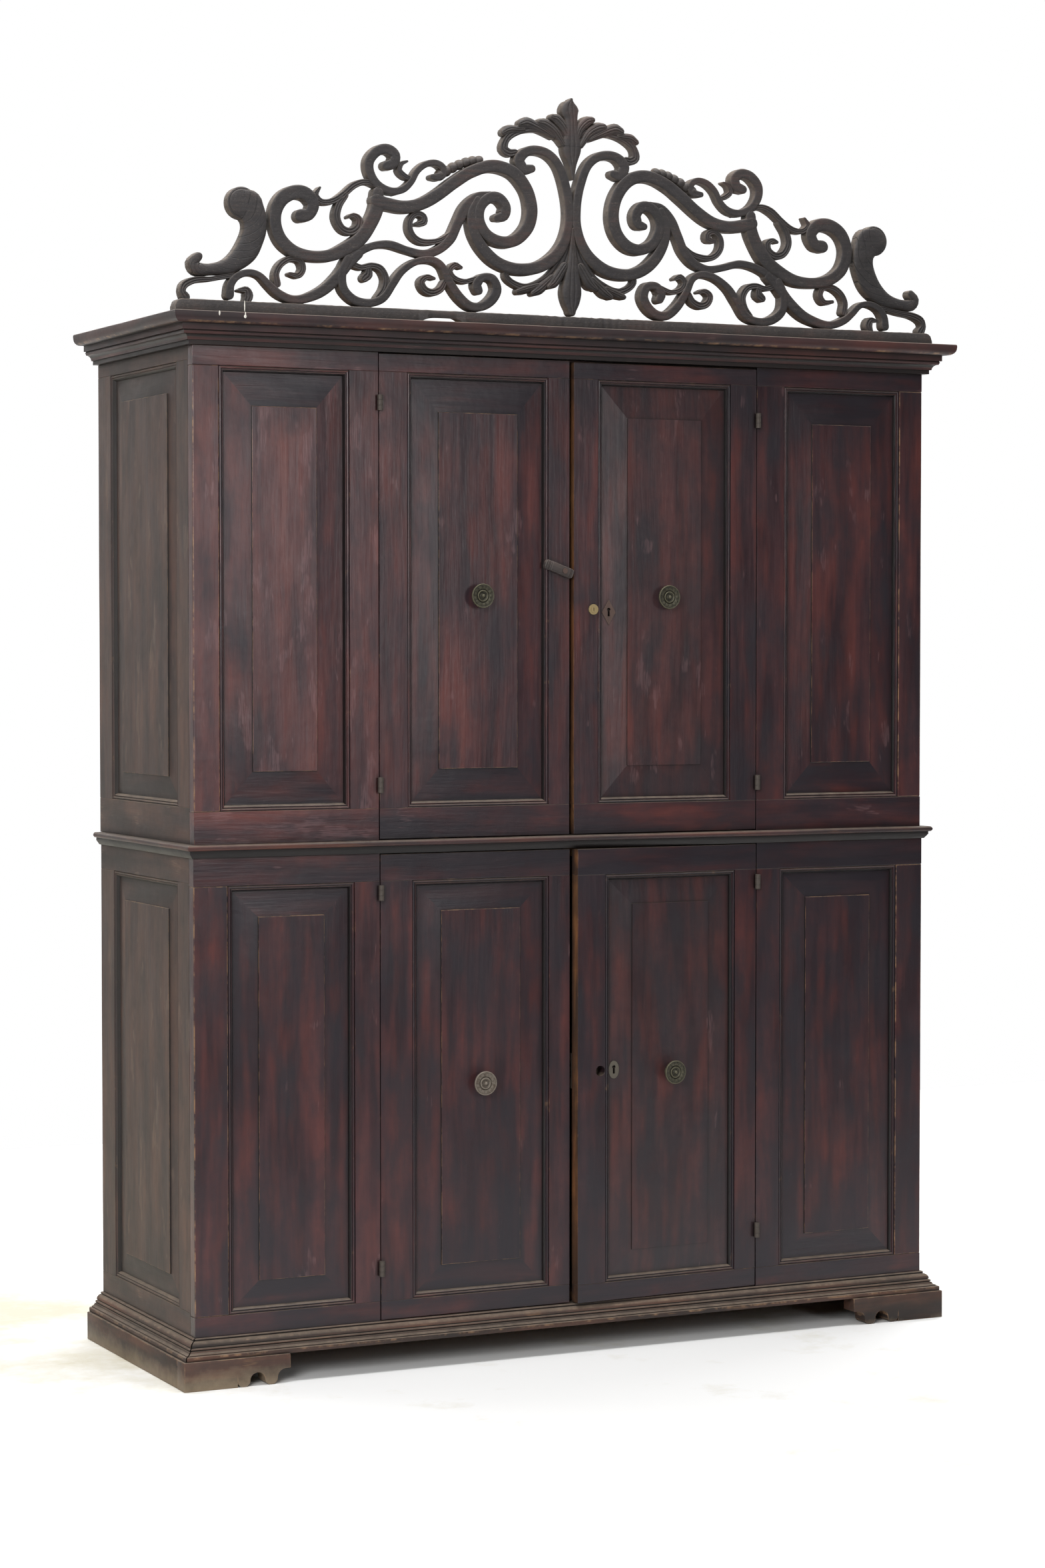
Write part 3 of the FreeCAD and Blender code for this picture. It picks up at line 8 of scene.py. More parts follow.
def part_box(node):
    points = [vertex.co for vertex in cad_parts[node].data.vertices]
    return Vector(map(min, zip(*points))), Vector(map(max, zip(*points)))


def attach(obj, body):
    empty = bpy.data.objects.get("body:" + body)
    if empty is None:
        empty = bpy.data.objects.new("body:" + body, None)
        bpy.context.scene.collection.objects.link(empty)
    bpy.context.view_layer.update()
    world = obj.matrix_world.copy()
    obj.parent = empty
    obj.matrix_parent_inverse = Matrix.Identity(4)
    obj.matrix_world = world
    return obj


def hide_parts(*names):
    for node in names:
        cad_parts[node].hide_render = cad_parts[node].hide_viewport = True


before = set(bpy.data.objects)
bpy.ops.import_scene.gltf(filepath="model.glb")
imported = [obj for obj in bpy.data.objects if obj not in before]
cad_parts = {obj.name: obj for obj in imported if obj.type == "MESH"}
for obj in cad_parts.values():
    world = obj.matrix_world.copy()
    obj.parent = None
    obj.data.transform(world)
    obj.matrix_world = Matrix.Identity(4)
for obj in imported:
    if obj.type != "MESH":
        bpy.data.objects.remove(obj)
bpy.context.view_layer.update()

# The camera stands to the left of the middle at eye height, turned to the right, and looks down a little,
# through a moderately long lens.
eye = bpy.data.objects.new("eye", bpy.data.cameras.new("eye"))
eye.location = (-3.4185, -7.0273, 1.5587)
eye.rotation_euler = (math.radians(90 - 2.267), 0, math.radians(-25.949))
eye.data.sensor_fit, eye.data.sensor_height, eye.data.lens = "VERTICAL", 36, 78.72
bpy.context.scene.collection.objects.link(eye)
bpy.context.scene.camera = eye
bpy.context.scene.view_settings.view_transform = "Standard"


# Studio: a pale painted floor and a white surround, with soft lamps in front on both sides and above. The
# right one shows in the polish of the left leaves.
def linear(code):
    """An sRGB hex colour as linear RGBA."""
    parts = [int(code[i:i + 2], 16) / 255 for i in (1, 3, 5)]
    return [c / 12.92 if c <= 0.04045 else ((c + 0.055) / 1.055) ** 2.4 for c in parts] + [1]


def plug(item, inputs):
    """Set a node's inputs, each to a value, a socket, or a node whose first output is meant."""
    for name, value in inputs.items():
        value = value.outputs[0] if isinstance(value, bpy.types.Node) else value
        if isinstance(value, bpy.types.NodeSocket):
            item.id_data.links.new(value, item.inputs[name])
        else:
            item.inputs[name].default_value = value


def add(tree, kind, inputs=None, stops=(), **settings):
    """Add a node with its settings, its inputs, and the stops of its colour ramp."""
    item = tree.nodes.new("ShaderNode" + kind)
    for name, value in settings.items():
        setattr(item, name, value)
    plug(item, inputs or {})
    for number, (place, colour) in enumerate(stops):
        ramp = item.color_ramp.elements
        mark = ramp[number] if number < 2 else ramp.new(place)
        mark.position, mark.color = place, linear(colour)
    return item


def new_material(name, **finish):
    """A material, its node tree, its shader with the finish set, and the spot that is being shaded."""
    material = bpy.data.materials.new(name)
    material.use_nodes = True
    tree = material.node_tree
    shader = tree.nodes["Principled BSDF"]
    plug(shader, finish)
    return material, tree, shader, add(tree, "TexCoord").outputs["Object"]


def covered(tree, tone, covers):
    """Lay covers over a tone. Each says its colour, what lays it on, from, to, and how much at the most."""
    for colour, value, start, end, most in covers:
        amount = add(tree, "MapRange", {0: value, 1: start, 2: end, 4: most})
        tone = add(tree, "Mix", {0: amount, 6: tone, 7: linear(colour)}, data_type="RGBA").outputs[2]
    return tone


# Yellowed scuffs some 400 mm wide lie on the floor behind on the left.
floor_colour, floor_marks = "#fbfbfa", "#d9d3bf"
floor_material, tree, shader, spot = new_material("painted_concrete_floor", Roughness=0.7)
marks = add(tree, "TexNoise", {"Vector": spot, "Scale": 1000 / 400, "Detail": 8.0, "Roughness": 0.7})
where = add(tree, "SeparateXYZ", {0: spot})
behind = add(tree, "MapRange", {0: where.outputs["Y"], 1: -0.8, 2: 0.5})
leftward = add(tree, "MapRange", {0: where.outputs["X"], 1: -0.5, 2: -1.1, 4: 0.3})
level = add(tree, "MapRange", {0: where.outputs["Z"], 1: 0.03, 2: 0.06, 3: 1.0, 4: 0.0})
behind = add(tree, "Math", {0: behind, 1: level}, operation="MULTIPLY")
marks = add(tree, "Math", {0: behind, 1: leftward, 2: marks}, operation="MULTIPLY_ADD")
plug(shader, {"Base Color": add(tree, "ValToRGB", {0: marks}, [(0.55, floor_colour), (0.82, floor_marks)])})

# The room round the floor lights the object and shows in its polish, and the camera doesn't see it: a white
# wall behind, dark cloth on the floor, in front and on the left, a black flag behind on the left, so that the
# side isn't hazed by the wall, and a low one behind the feet.
drape_material, tree, shader, spot = new_material("black_studio_cloth", Roughness=0.9)
weave = add(tree, "TexNoise", {"Vector": spot, "Scale": 1000 / 250, "Detail": 3.0})
plug(shader, {"Base Color": add(tree, "ValToRGB", {0: weave}, [(0.4, "#1c1b1b"), (0.7, "#2a2828")])})
sheets = (  # name, corner, along, upward, material, seen by the camera
    ("pale_floor", (-7, -2.5, 0), (14, 0, 0), (0, 5.7, 0), floor_material, True),
    ("white_wall", (-7, 3.2, 0), (14, 0, 0), (0, 0, 6), floor_material, False),
    ("dark_floor", (-9, -12, -0.01), (23, 0, 0), (0, 9.5, 0), drape_material, False),
    ("front_drape", (-9, -9.5, 0), (23, 1.5, 0), (0, 0, 8), drape_material, False),
    ("left_drape", (-8.5, -10, 0), (0.4, 12, 0), (0, 0, 8), drape_material, False),
    ("black_flag", (-3.8, 2.4, 0.05), (1.95, 0.1, 0), (0, 0, 3.2), drape_material, False),
    ("floor_flag", (-0.88, 0.34, 0), (1.76, 0, 0), (0, 0, 0.1), drape_material, False),
)
for name, corner, along, upward, material, seen in sheets:
    cloth = bmesh.new()
    bmesh.ops.create_grid(cloth, x_segments=4, y_segments=4, size=0.5)
    for vert in cloth.verts:
        vert.co = Vector(corner) + Vector(along) * (vert.co.x + 0.5) + Vector(upward) * (vert.co.y + 0.5)
    sheet = bpy.data.objects.new(name, bpy.data.meshes.new(name))
    cloth.to_mesh(sheet.data)
    cloth.free()
    sheet.data.materials.append(material)
    sheet.visible_camera = seen
    sheet.visible_shadow = sheet.visible_diffuse = name != "black_flag"
    bpy.context.scene.collection.objects.link(sheet)

lamps = (  # name, place, aim, width, height, watts
    ("right_softbox", (1.2, -6.6, 2.2), (-0.7, 0, 1.9), 1.1, 1.8, 62),
    ("left_softbox", (-3.9, -4.6, 2.9), (-0.7, 0, 1.4), 2.2, 2.2, 215),
    ("top_fill", (-0.3, -0.9, 5.2), (-0.3, -0.6, 0), 4.0, 1.2, 160),
    ("left_backdrop_wash", (-1.5, 1.2, 4.2), (-2.5, 3.2, 1.2), 2.0, 0.6, 90),
    ("right_backdrop_wash", (3.0, 1.2, 4.2), (3.6, 3.2, 1.4), 2.5, 0.6, 170),
)
for name, place, aim, width, height, watts in lamps:
    lamp = bpy.data.lights.new(name, "AREA")
    lamp.shape = "RECTANGLE"
    lamp.size, lamp.size_y, lamp.energy = width, height, watts
    holder = bpy.data.objects.new(name, lamp)
    holder.location = place
    holder.rotation_euler = (Vector(aim) - Vector(place)).to_track_quat("-Z", "Y").to_euler()
    bpy.context.scene.collection.objects.link(holder)

surround_light, surround_seen = 0.3, 1.0
world = bpy.data.worlds.new("white_surround")
bpy.context.scene.world = world
world.use_nodes = True
tree = world.node_tree
path = add(tree, "LightPath").outputs
seen = add(tree, "Math", {0: path["Is Camera Ray"], 1: path["Is Glossy Ray"]}, operation="MAXIMUM")
seen = add(tree, "Math", {0: seen, 1: path["Is Transmission Ray"]}, operation="MAXIMUM")
level = add(tree, "MapRange", {0: seen, 3: surround_light, 4: surround_seen})
plug(tree.nodes["Background"], {"Color": (1, 1, 1, 1), "Strength": level})


# Case joinery: boards of hardwood, stained dark red-brown and waxed long ago. The stain has gone blackish
# in streaks along the grain and worn back to red and brown on the edges.
FRONT, UPPER_FRONT = -0.2745, -0.2715
LOWER_BACK, UPPER_BACK = 0.3175, 0.3305


def stained_wood(name, tones, red, worn, soot, bare="#8a6b4f", dust=0.0, film=0.0, roughness=0.2, turned=None,
                 limits=None, bias=0.0, skirt=None):
    """Stained and waxed hardwood. Each board carries its own place on the grain, and each leaf how far up or
    down from its middle a spot is and how sooty it is. A piece without those is turned so that its grain
    runs upwards, and its limits give its middle. Dust lies on what faces up, a film of it on everything, and
    a skirt of it on the edge by the floor."""
    material, tree, shader, spot = new_material(name, IOR=1.44)
    grain = add(tree, "Attribute", attribute_name="grain").outputs["Vector"]
    place = add(tree, "Attribute", attribute_name="place").outputs["Vector"]
    place = add(tree, "SeparateXYZ", {0: place}).outputs
    here = add(tree, "SeparateXYZ", {0: spot}).outputs
    away, sooty = place["Y"], place["Z"]
    if turned:
        grain, sooty = add(tree, "Mapping", {"Vector": spot, "Rotation": turned}), bias
    if limits:
        away = add(tree, "MapRange", {0: here["Z"], 1: limits[0][2], 2: limits[1][2], 3: -0.5, 4: 0.5})
        away = add(tree, "Math", {0: away}, operation="ABSOLUTE")

    # the grain drifts sideways by about 8 mm in half a metre
    drift = add(tree, "TexNoise", {"Vector": grain, "Scale": 1000 / 400, "Detail": 1.0})
    drift = add(tree, "VectorMath", {0: drift.outputs["Color"], 1: (0.022, 0.022, 0), 2: grain},
                operation="MULTIPLY_ADD")
    # painted shade: dark where a face is marked below nought, and in quirks and joints, which ambient
    # occlusion finds closed in
    wear_and_shade = add(tree, "Attribute", attribute_name="wear_and_shade").outputs["Fac"]
    opened = add(tree, "AmbientOcclusion", {"Distance": 0.012}, samples=3).outputs["AO"]
    figure = dict(sooty=sooty, wear_and_shade=wear_and_shade, opened=opened, rightward=here["X"])
    for kind, over, across, along, detail, rough in (  # millimetres across and along the grain
            ("bands", drift, 52, 420, 2.5, 0.55), ("streaks", drift, 9, 160, 3.0, 0.6),
            ("hairs", drift, 1.7, 45, 2.0, 0.6), ("thin", drift, 34, 260, 2.5, 0.55),
            ("clouds", drift, 70, 180, 5.0, 0.6), ("scratches", drift, 1.5, 42, 2.0, 0.5),
            ("patches", drift, 48, 130, 3.0, 0.6), ("blots", spot, 150, 150, 4.0, 0.6),
            ("crumbs", spot, 26, 26, 5.0, 0.65)):
        spread = add(tree, "Mapping", {"Vector": over, "Scale": (1000 / across, 1000 / across, 1000 / along)})
        figure[kind] = add(tree, "TexNoise", {"Vector": spread, "Scale": 1.0, "Detail": detail,
                                              "Roughness": rough})
    near_end = add(tree, "MapRange", {0: away, 1: 0.3, 2: 0.48, 4: 0.1}, interpolation_type="SMOOTHSTEP")
    normal = add(tree, "NewGeometry").outputs["Normal"]
    facing = add(tree, "SeparateXYZ", {0: normal}).outputs["Z"]
    dusty = add(tree, "MapRange", {0: facing, 1: 0.25, 2: 0.8, 3: film, 4: film + dust})
    figure["dusty"] = add(tree, "Math", {0: dusty, 1: figure["crumbs"]}, operation="MULTIPLY")
    # sums of shares: the stain's tone, soot and blackened wax, most at the ends of a leaf, where no cloth
    # reached, rubbed patches, painted shade in crevices, roughness, and the skirt, 45 to 85 mm high and most
    # on the left
    for kind, value, shares in (
            ("tone", -0.08, dict(hairs=0.06, bands=0.85, streaks=0.15, crumbs=0.14, sooty=-1.2)),
            ("cloud", near_end, dict(blots=0.6, clouds=1.0, sooty=1.0)),
            ("rubbed", 0.0, dict(patches=1.0, sooty=-1.0)), ("crevice_shade", 1.0, dict(opened=-1.0, wear_and_shade=-1.0)),
            ("sheen", roughness, dict(hairs=0.1, clouds=0.2, dusty=0.5)),
            ("skirt", here["Z"], dict(blots=0.06, crumbs=0.04, rightward=0.02))):
        for part, share in shares.items():
            value = add(tree, "Math", {0: figure[part], 1: share, 2: value}, operation="MULTIPLY_ADD")
        figure[kind] = value
    # fine light scratches in the patches that hands and cloths have rubbed
    rubbed = add(tree, "MapRange", {0: figure["rubbed"], 1: 0.5, 2: 0.66})
    figure["rubbed"] = add(tree, "Math", {0: figure["scratches"], 1: rubbed}, operation="MULTIPLY")
    # the eased arrises have lost their stain in places
    figure["edge"] = add(tree, "Math", {0: figure["crumbs"], 1: wear_and_shade}, operation="MULTIPLY")
    # flecks of white paint and plaster 1.5 mm wide, in one cell of 125 mm out of four
    cells = add(tree, "TexVoronoi", {"Vector": spot, "Scale": 1000 / 125}).outputs
    few = add(tree, "SeparateColor", {"Color": cells["Color"]})
    few = add(tree, "Math", {0: few, 1: 0.75}, operation="GREATER_THAN")
    fleck = add(tree, "Math", {0: cells["Distance"], 1: 0.0075}, operation="LESS_THAN")
    figure["fleck"] = add(tree, "Math", {0: fleck, 1: few}, operation="MULTIPLY")
    # the near-black cover over crevices is painted shade
    covers = [
        (red, "thin", 0.45, 0.75, 0.5), (soot, "cloud", 0.76, 1.02, 0.72), (worn, "rubbed", 0.40, 0.55, 0.2),
        (bare, "edge", 0.44, 0.6, 0.75), ("#0e0a0a", "crevice_shade", 0.08, 0.5, 0.96),
        ("#c9c2b8", "fleck", 0.0, 1.0, 1.0), ("#75675a", "dusty", 0.0, 1.0, 1.6),
        (skirt, "skirt", 0.075, 0.035, 0.7)]
    stain = covered(tree, add(tree, "ValToRGB", {0: figure["tone"]}, tones), [
        (colour, figure[part], *amounts) for colour, part, *amounts in covers if colour])
    # pores, planing that wavers by a third of a millimetre, and dents
    for part, deep in (("scratches", 0.0001), ("streaks", 0.0004), ("blots", 0.002)):
        normal = add(tree, "Bump", {"Height": figure[part], "Distance": deep, "Normal": normal})
    plug(shader, {"Base Color": stain, "Roughness": figure["sheen"], "Normal": normal})
    return material


FRONT_TONES = [(0.38, "#2c1e22"), (0.50, "#3b2629"), (0.62, "#4a2d2e"), (0.76, "#5a3532")]
FRONT_STAIN = dict(red="#67342d", worn="#8a6a6c", soot="#222127")
front_wood = stained_wood("stained_walnut_fronts", FRONT_TONES, dust=0.7, **FRONT_STAIN)
side_wood = stained_wood("stained_walnut_sides",
                         [(0.36, "#2b2324"), (0.47, "#3a2e2d"), (0.58, "#473631"), (0.72, "#563f36")],
                         "#58392f", "#8a7464", "#2b2828", dust=0.8, film=0.06, roughness=0.42)
raw_wood = stained_wood("bare_edge_wood", [(0.38, "#4a3120"), (0.5, "#8a5c34"), (0.62, "#ad7a48")],
                        "#ad6c3c", "#c49a63", "#2c2019", roughness=0.55)


def blank():
    """An empty mesh whose faces can carry their place on the grain, how worn they are, and their painted
    shade.
    """
    bm = bmesh.new()
    bm.loops.layers.float_vector.new("grain")
    bm.loops.layers.float_vector.new("place")
    bm.faces.layers.float.new("wear_and_shade")
    return bm


def board_mesh(bm, low, high, along, seed, edge=0.0011, cuts=0):
    """One planed board between two corners, its arrises eased, with its own place on the grain."""
    low, high = Vector(low), Vector(high)
    others = set(bm.faces)
    made = bmesh.ops.create_cube(bm, size=1, matrix=Matrix.Translation((low + high) / 2)
                                 @ Matrix.Diagonal((*(high - low), 1)))
    edges = list(dict.fromkeys(item for vert in made["verts"] for item in vert.link_edges))
    bmesh.ops.bevel(bm, geom=edges, offset=edge, segments=2, profile=0.5, affect="EDGES", material=-1)
    for number in range(1, cuts + 1):
        spot = low.copy()
        spot[along] = low[along] + (high[along] - low[along]) * number / (cuts + 1)
        plane = Vector()
        plane[along] = 1
        whole = [face for face in bm.faces if face not in others]
        parts = dict.fromkeys(part for face in whole for part in (face, *face.edges, *face.verts))
        bmesh.ops.bisect_plane(bm, geom=list(parts), plane_co=spot, plane_no=plane)
    whole = [face for face in bm.faces if face not in others]
    mark_grain(bm, whole, along, seed)
    wear_and_shade = bm.faces.layers.float["wear_and_shade"]
    for face in whole:
        face[wear_and_shade] = 0.0 if max(abs(n) for n in face.normal) > 0.98 else 0.75 if edge < 0.0015 else 1.0


# metres across, through and along the grain from one board's place on it to the next, and the width of
# grain that an outline is wrapped in
APART, WRAP = (1.37, 0.71, 2.9), 0.08


def mark_grain(bm, faces, along, seed):
    """Give each corner its place across, through and along the grain, in metres, apart for each board."""
    layer = bm.loops.layers.float_vector["grain"]
    axes = [axis for axis in range(3) if axis != along] + [along]
    for face in faces:
        for corner in face.loops:
            corner[layer] = [corner.vert.co[axis] + seed * apart for axis, apart in zip(axes, APART)]


def drawn(bm, stations, seed=0.0, wear_and_shade=0.0):
    """Draw a closed outline through its stations, as a moulding is run, and close both ends."""
    grain, worn = bm.loops.layers.float_vector["grain"], bm.faces.layers.float["wear_and_shade"]
    ring = [bm.verts.new(spot) for spot in stations[0]]
    edges = [bm.edges.new(pair) for pair in zip(ring, ring[1:] + ring[:1])]
    made = bmesh.ops.contextual_create(bm, geom=edges)["faces"]
    place = {vert: (number / len(ring) * WRAP, 0.0) for number, vert in enumerate(ring)}
    run = 0.0
    for before, spots in zip(stations, stations[1:]):
        out = bmesh.ops.extrude_edge_only(bm, edges=edges)["geom"]
        fresh = {item for item in out if isinstance(item, bmesh.types.BMVert)}
        made += [item for item in out if isinstance(item, bmesh.types.BMFace)]
        run += (Vector(spots[0]) - Vector(before[0])).length
        following = []
        for vert, spot in zip(ring, spots):
            partner = next(e.other_vert(vert) for e in vert.link_edges if e.other_vert(vert) in fresh)
            partner.co = spot
            place[partner] = (place[vert][0], run)
            following.append(partner)
        ring = following
        edges = [bm.edges.get(pair) for pair in zip(ring, ring[1:] + ring[:1])]
    made += bmesh.ops.contextual_create(bm, geom=edges)["faces"]
    for face in made:
        face[worn] = wear_and_shade
        for corner in face.loops:
            across, length = place[corner.vert]
            corner[grain] = [value + seed * apart for value, apart in zip((across, 0, length), APART)]
    bmesh.ops.recalc_face_normals(bm, faces=made)
    return made


noise.seed_set(4)  # without a seed the wavering would differ from run to run


def unsteady(bm, amount, pitch):
    """Let the surface waver a little, as handwork does."""
    for vert in bm.verts:
        vert.co += noise.noise_vector(vert.co * (1 / pitch)) * amount


def finish(name, bm, materials, body, slot_name, nodes=(), place=Matrix(), sharp=30):
    """Make the piece from its mesh, in its place on the body that carries it."""
    bm.transform(place)
    mesh = bpy.data.meshes.new(name)
    bm.to_mesh(mesh)
    bm.free()
    for material in materials:
        mesh.materials.append(material)
    mesh.shade_smooth()
    mesh.set_sharp_from_angle(angle=math.radians(sharp))
    piece = bpy.data.objects.new(name, mesh)
    bpy.context.scene.collection.objects.link(piece)
    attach(piece, body)
    if nodes:
        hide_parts(*nodes)
    return piece


# Panelled leaves: two rails across the whole width, two stiles between them, a mitred moulding of two
# small beads nailed round the opening, and a raised panel with a sloping border and a flat field.
THICK = 0.028
BEAD = ((0.0, 0.0012), (0.0004, 0.0034), (0.0012, 0.0034), (0.002, 0.0016), (0.0036, 0.0008),
        (0.0052, 0.0016), (0.006, 0.0038), (0.0068, 0.0038), (0.0076, 0.0028), (0.009, 0.0028),
        (0.0104, 0.0046), (0.0118, 0.0066), (0.013, 0.0102), (0.0, 0.0102))


def mark_place(bm, width, height, soot):
    """Give each corner its share of the width, how far it is from the middle of the height, and its soot."""
    layer = bm.loops.layers.float_vector["place"]
    for face in bm.faces:
        for corner in face.loops:
            corner[layer] = (corner.vert.co.x / width, abs(corner.vert.co.z / height - 0.5), soot)


def bored(bm, x, z, radius, seed):
    """Bore a round hole from front to back through the upright board at that place."""
    rings, fresh = [], []
    for face in list(bm.faces):
        across, high = [v.co.x for v in face.verts], [v.co.z for v in face.verts]
        if abs(face.normal.y) > 0.98 and min(across) < x < max(across) and min(high) < z < max(high):
            y = face.verts[0].co.y
            turns = [math.tau * (number + 0.5) / 48 for number in range(48)]
            ring = [bm.verts.new((x + radius * math.cos(t), y, z + radius * math.sin(t))) for t in turns]
            edges = face.edges[:] + [bm.edges.new(pair) for pair in zip(ring, ring[1:] + ring[:1])]
            bm.faces.remove(face)
            fresh += bmesh.ops.triangle_fill(bm, use_beauty=True, edges=edges)["geom"]
            rings.append(list(zip(ring, ring[1:] + ring[:1])))
    fresh += [bm.faces.new((*one, *reversed(other))) for one, other in zip(*rings)]
    mark_grain(bm, [item for item in fresh if isinstance(item, bmesh.types.BMFace)], 2, seed)
    bmesh.ops.recalc_face_normals(bm, faces=bm.faces)


def frame_mesh(width, height, stiles, rails, edges, seed, soot, bore):
    """The framing of one leaf and its bead, in the leaf's own frame: across X, inwards Y, up Z. The ridges
    of the bead are rubbed, and its quirks are painted dark as shade."""
    bm = blank()
    left, right, low, high = stiles[0], width - stiles[1], rails[0], height - rails[1]
    board_mesh(bm, (0, 0, 0), (width, THICK, low), 0, seed, cuts=5)
    board_mesh(bm, (0, 0, high), (width, THICK, height), 0, seed + 1, cuts=5)
    board_mesh(bm, (0, 0, low), (left, THICK, high), 2, seed + 2, edges[0], cuts=9)
    if bore:
        bored(bm, *bore, seed + 2)
    board_mesh(bm, (right, 0, low), (width, THICK, high), 2, seed + 3, edges[1], cuts=9)
    unsteady(bm, 0.0005, 0.23)
    corners = ((left, low, 1, 1), (right, low, -1, 1), (right, high, -1, -1), (left, high, 1, -1))
    for number, start in enumerate(corners):
        ends = []
        for x, z, inward_x, inward_z in (start, corners[(number + 1) % 4]):
            ends.append([(x + inward_x * a, y, z + inward_z * a) for a, y in BEAD])
        # the bead's front ridges are marked worn, and its deeper quirks below nought for painted shade
        for face in drawn(bm, ends, seed=seed + 4 + number):
            face[bm.faces.layers.float["wear_and_shade"]] = 0.7 if face.calc_center_median().y < 0.0030 else -0.8
    mark_place(bm, width, height, soot)
    return bm


def panel_mesh(width, height, stiles, rails, bevels, seed, soot):
    """The raised panel, worked from one face of a thin board by stepping in and forward."""
    bm = blank()
    left, right, low, high = stiles[0], width - stiles[1], rails[0], height - rails[1]
    middle = Vector(((left + right) / 2, 0.014, (low + high) / 2))
    thick, tongue = 0.008, 0.015
    made = bmesh.ops.create_cube(bm, size=1, matrix=Matrix.Translation(middle) @ Matrix.Diagonal(
        (right - left + tongue, thick, high - low + tongue, 1)))
    face = min((f for v in made["verts"] for f in v.link_faces), key=lambda f: f.calc_center_median().y)
    edge = 0.0128
    in_x, in_z = edge + bevels[0], edge + bevels[1]
    steps = ((edge, edge, 0.0100), (in_x - 0.0006, in_z - 0.0006, 0.0052), (in_x, in_z, 0.0050),
             (in_x + 0.0003, in_z + 0.0003, 0.0028), (in_x + 0.0010, in_z + 0.0010, 0.0025))
    for inset_x, inset_z, depth in steps:
        bmesh.ops.inset_individual(bm, faces=[face], thickness=0.0001)
        for vert in face.verts:
            vert.co.x = left + inset_x if vert.co.x < middle.x else right - inset_x
            vert.co.y = depth
            vert.co.z = low + inset_z if vert.co.z < middle.z else high - inset_z
    for share in (0.1, 0.3, 0.5, 0.7, 0.9):
        bmesh.ops.bisect_plane(bm, geom=[*bm.verts, *bm.edges, *bm.faces], plane_co=(0, 0, height * share),
                               plane_no=(0, 0, 1))
    mark_grain(bm, bm.faces, 2, seed)
    mark_place(bm, width, height, soot)
    wear_and_shade, layer = bm.faces.layers.float["wear_and_shade"], bm.loops.layers.float_vector["place"]
    for item in bm.faces:
        spot = item.calc_center_median()
        # the step round the field is worn bare along its top and front, a worn edge that also paints its
        # highlight, and painted dark as its shadow lower down and along its other sides
        step = item.calc_area() < 0.002 and spot.y < 0.0055
        item[wear_and_shade] = (1.0 if item.normal.z > 0.3 or spot.y < 0.0027 else -0.9) if step else 0.0
        if 0.0055 < spot.y < 0.0098:  # the sloping border is smoother and darker, across the ends above all
            across_end = abs(item.normal.z) > abs(item.normal.x)
            if across_end:
                mark_grain(bm, [item], 0, seed + 0.4)
            for corner in item.loops:
                corner[layer].z = soot + (0.10 if across_end else 0.02)
    return bm


def leaf(name, x, y, z, width, height, stiles, rails, bevels, seed, soot=0.0, turn=0, extra=Matrix(),
         wood=None, edges=(0.0009, 0.0009), bore=None):
    """Both pieces of one leaf, stood in the cupboard, on the case or on the door that it is."""
    body = name if name.endswith("door") else "case"
    place = extra @ Matrix.Translation((x, y, z)) @ Matrix.Rotation(math.radians(turn), 4, "Z")
    sizes, woods = (width, height, stiles, rails), [wood or front_wood]
    framing = finish(f"{name}_joinery", frame_mesh(*sizes, edges, seed, soot, bore), woods, body,
                     "case_wood", [f"{name}_frame"], place, sharp=10)
    if bevels:
        finish(f"{name}_raised_panel", panel_mesh(*sizes, bevels, seed + 9, soot), woods, body, "case_wood",
               [f"{name}_panel"], place, sharp=10)
    return framing


UPPER_RAILS, LOWER_RAILS = (0.069, 0.041), (0.043, 0.060)
UPPER_BEVELS, LOWER_BEVELS, SIDE_BEVELS = (0.062, 0.070), (0.057, 0.055), (0.051, 0.049)
# the outer corners of the case are worn round by knocks
LEFT_CORNER, RIGHT_CORNER = (0.0022, 0.0009), (0.0009, 0.0022)
leaf("upper_left_leaf", -0.897, UPPER_FRONT, 1.146, 0.423, 1.046, (0.059, 0.067), UPPER_RAILS,
     UPPER_BEVELS, 11, -0.03, edges=LEFT_CORNER)
leaf("upper_right_leaf", 0.459, UPPER_FRONT, 1.146, 0.438, 1.046, (0.071, 0.061), UPPER_RAILS,
     UPPER_BEVELS, 23, 0.03, edges=RIGHT_CORNER)
leaf("lower_left_leaf", -0.900, FRONT, 0.105, 0.426, 1.013, (0.077, 0.058), LOWER_RAILS,
     LOWER_BEVELS, 37, 0.04, edges=LEFT_CORNER)
leaf("lower_right_leaf", 0.459, FRONT, 0.105, 0.441, 1.013, (0.060, 0.070), LOWER_RAILS,
     LOWER_BEVELS, 52, 0.1, edges=RIGHT_CORNER)
unevenness = 0.0005
for side, x, turn in (("left", -1, -90), ("right", 1, 90)):
    for level, half, start, back, z, high, stiles, rails in (
            ("lower", 0.9, FRONT, LOWER_BACK, 0.105, 1.013, (0.087, 0.067), (0.049, 0.054)),
            ("upper", 0.897, UPPER_FRONT, UPPER_BACK, 1.146, 1.046, (0.083, 0.070), (0.077, 0.029))):
        deep = back - start - THICK - unevenness
        y = back - unevenness if side == "left" else start + THICK
        stiles = stiles if side == "left" else stiles[::-1]
        leaf(f"{level}_{side}_side", x * half, y, z, deep, high, stiles, rails, SIDE_BEVELS,
             60 + 7 * len(level + side) + x, 0.0, turn, wood=side_wood)

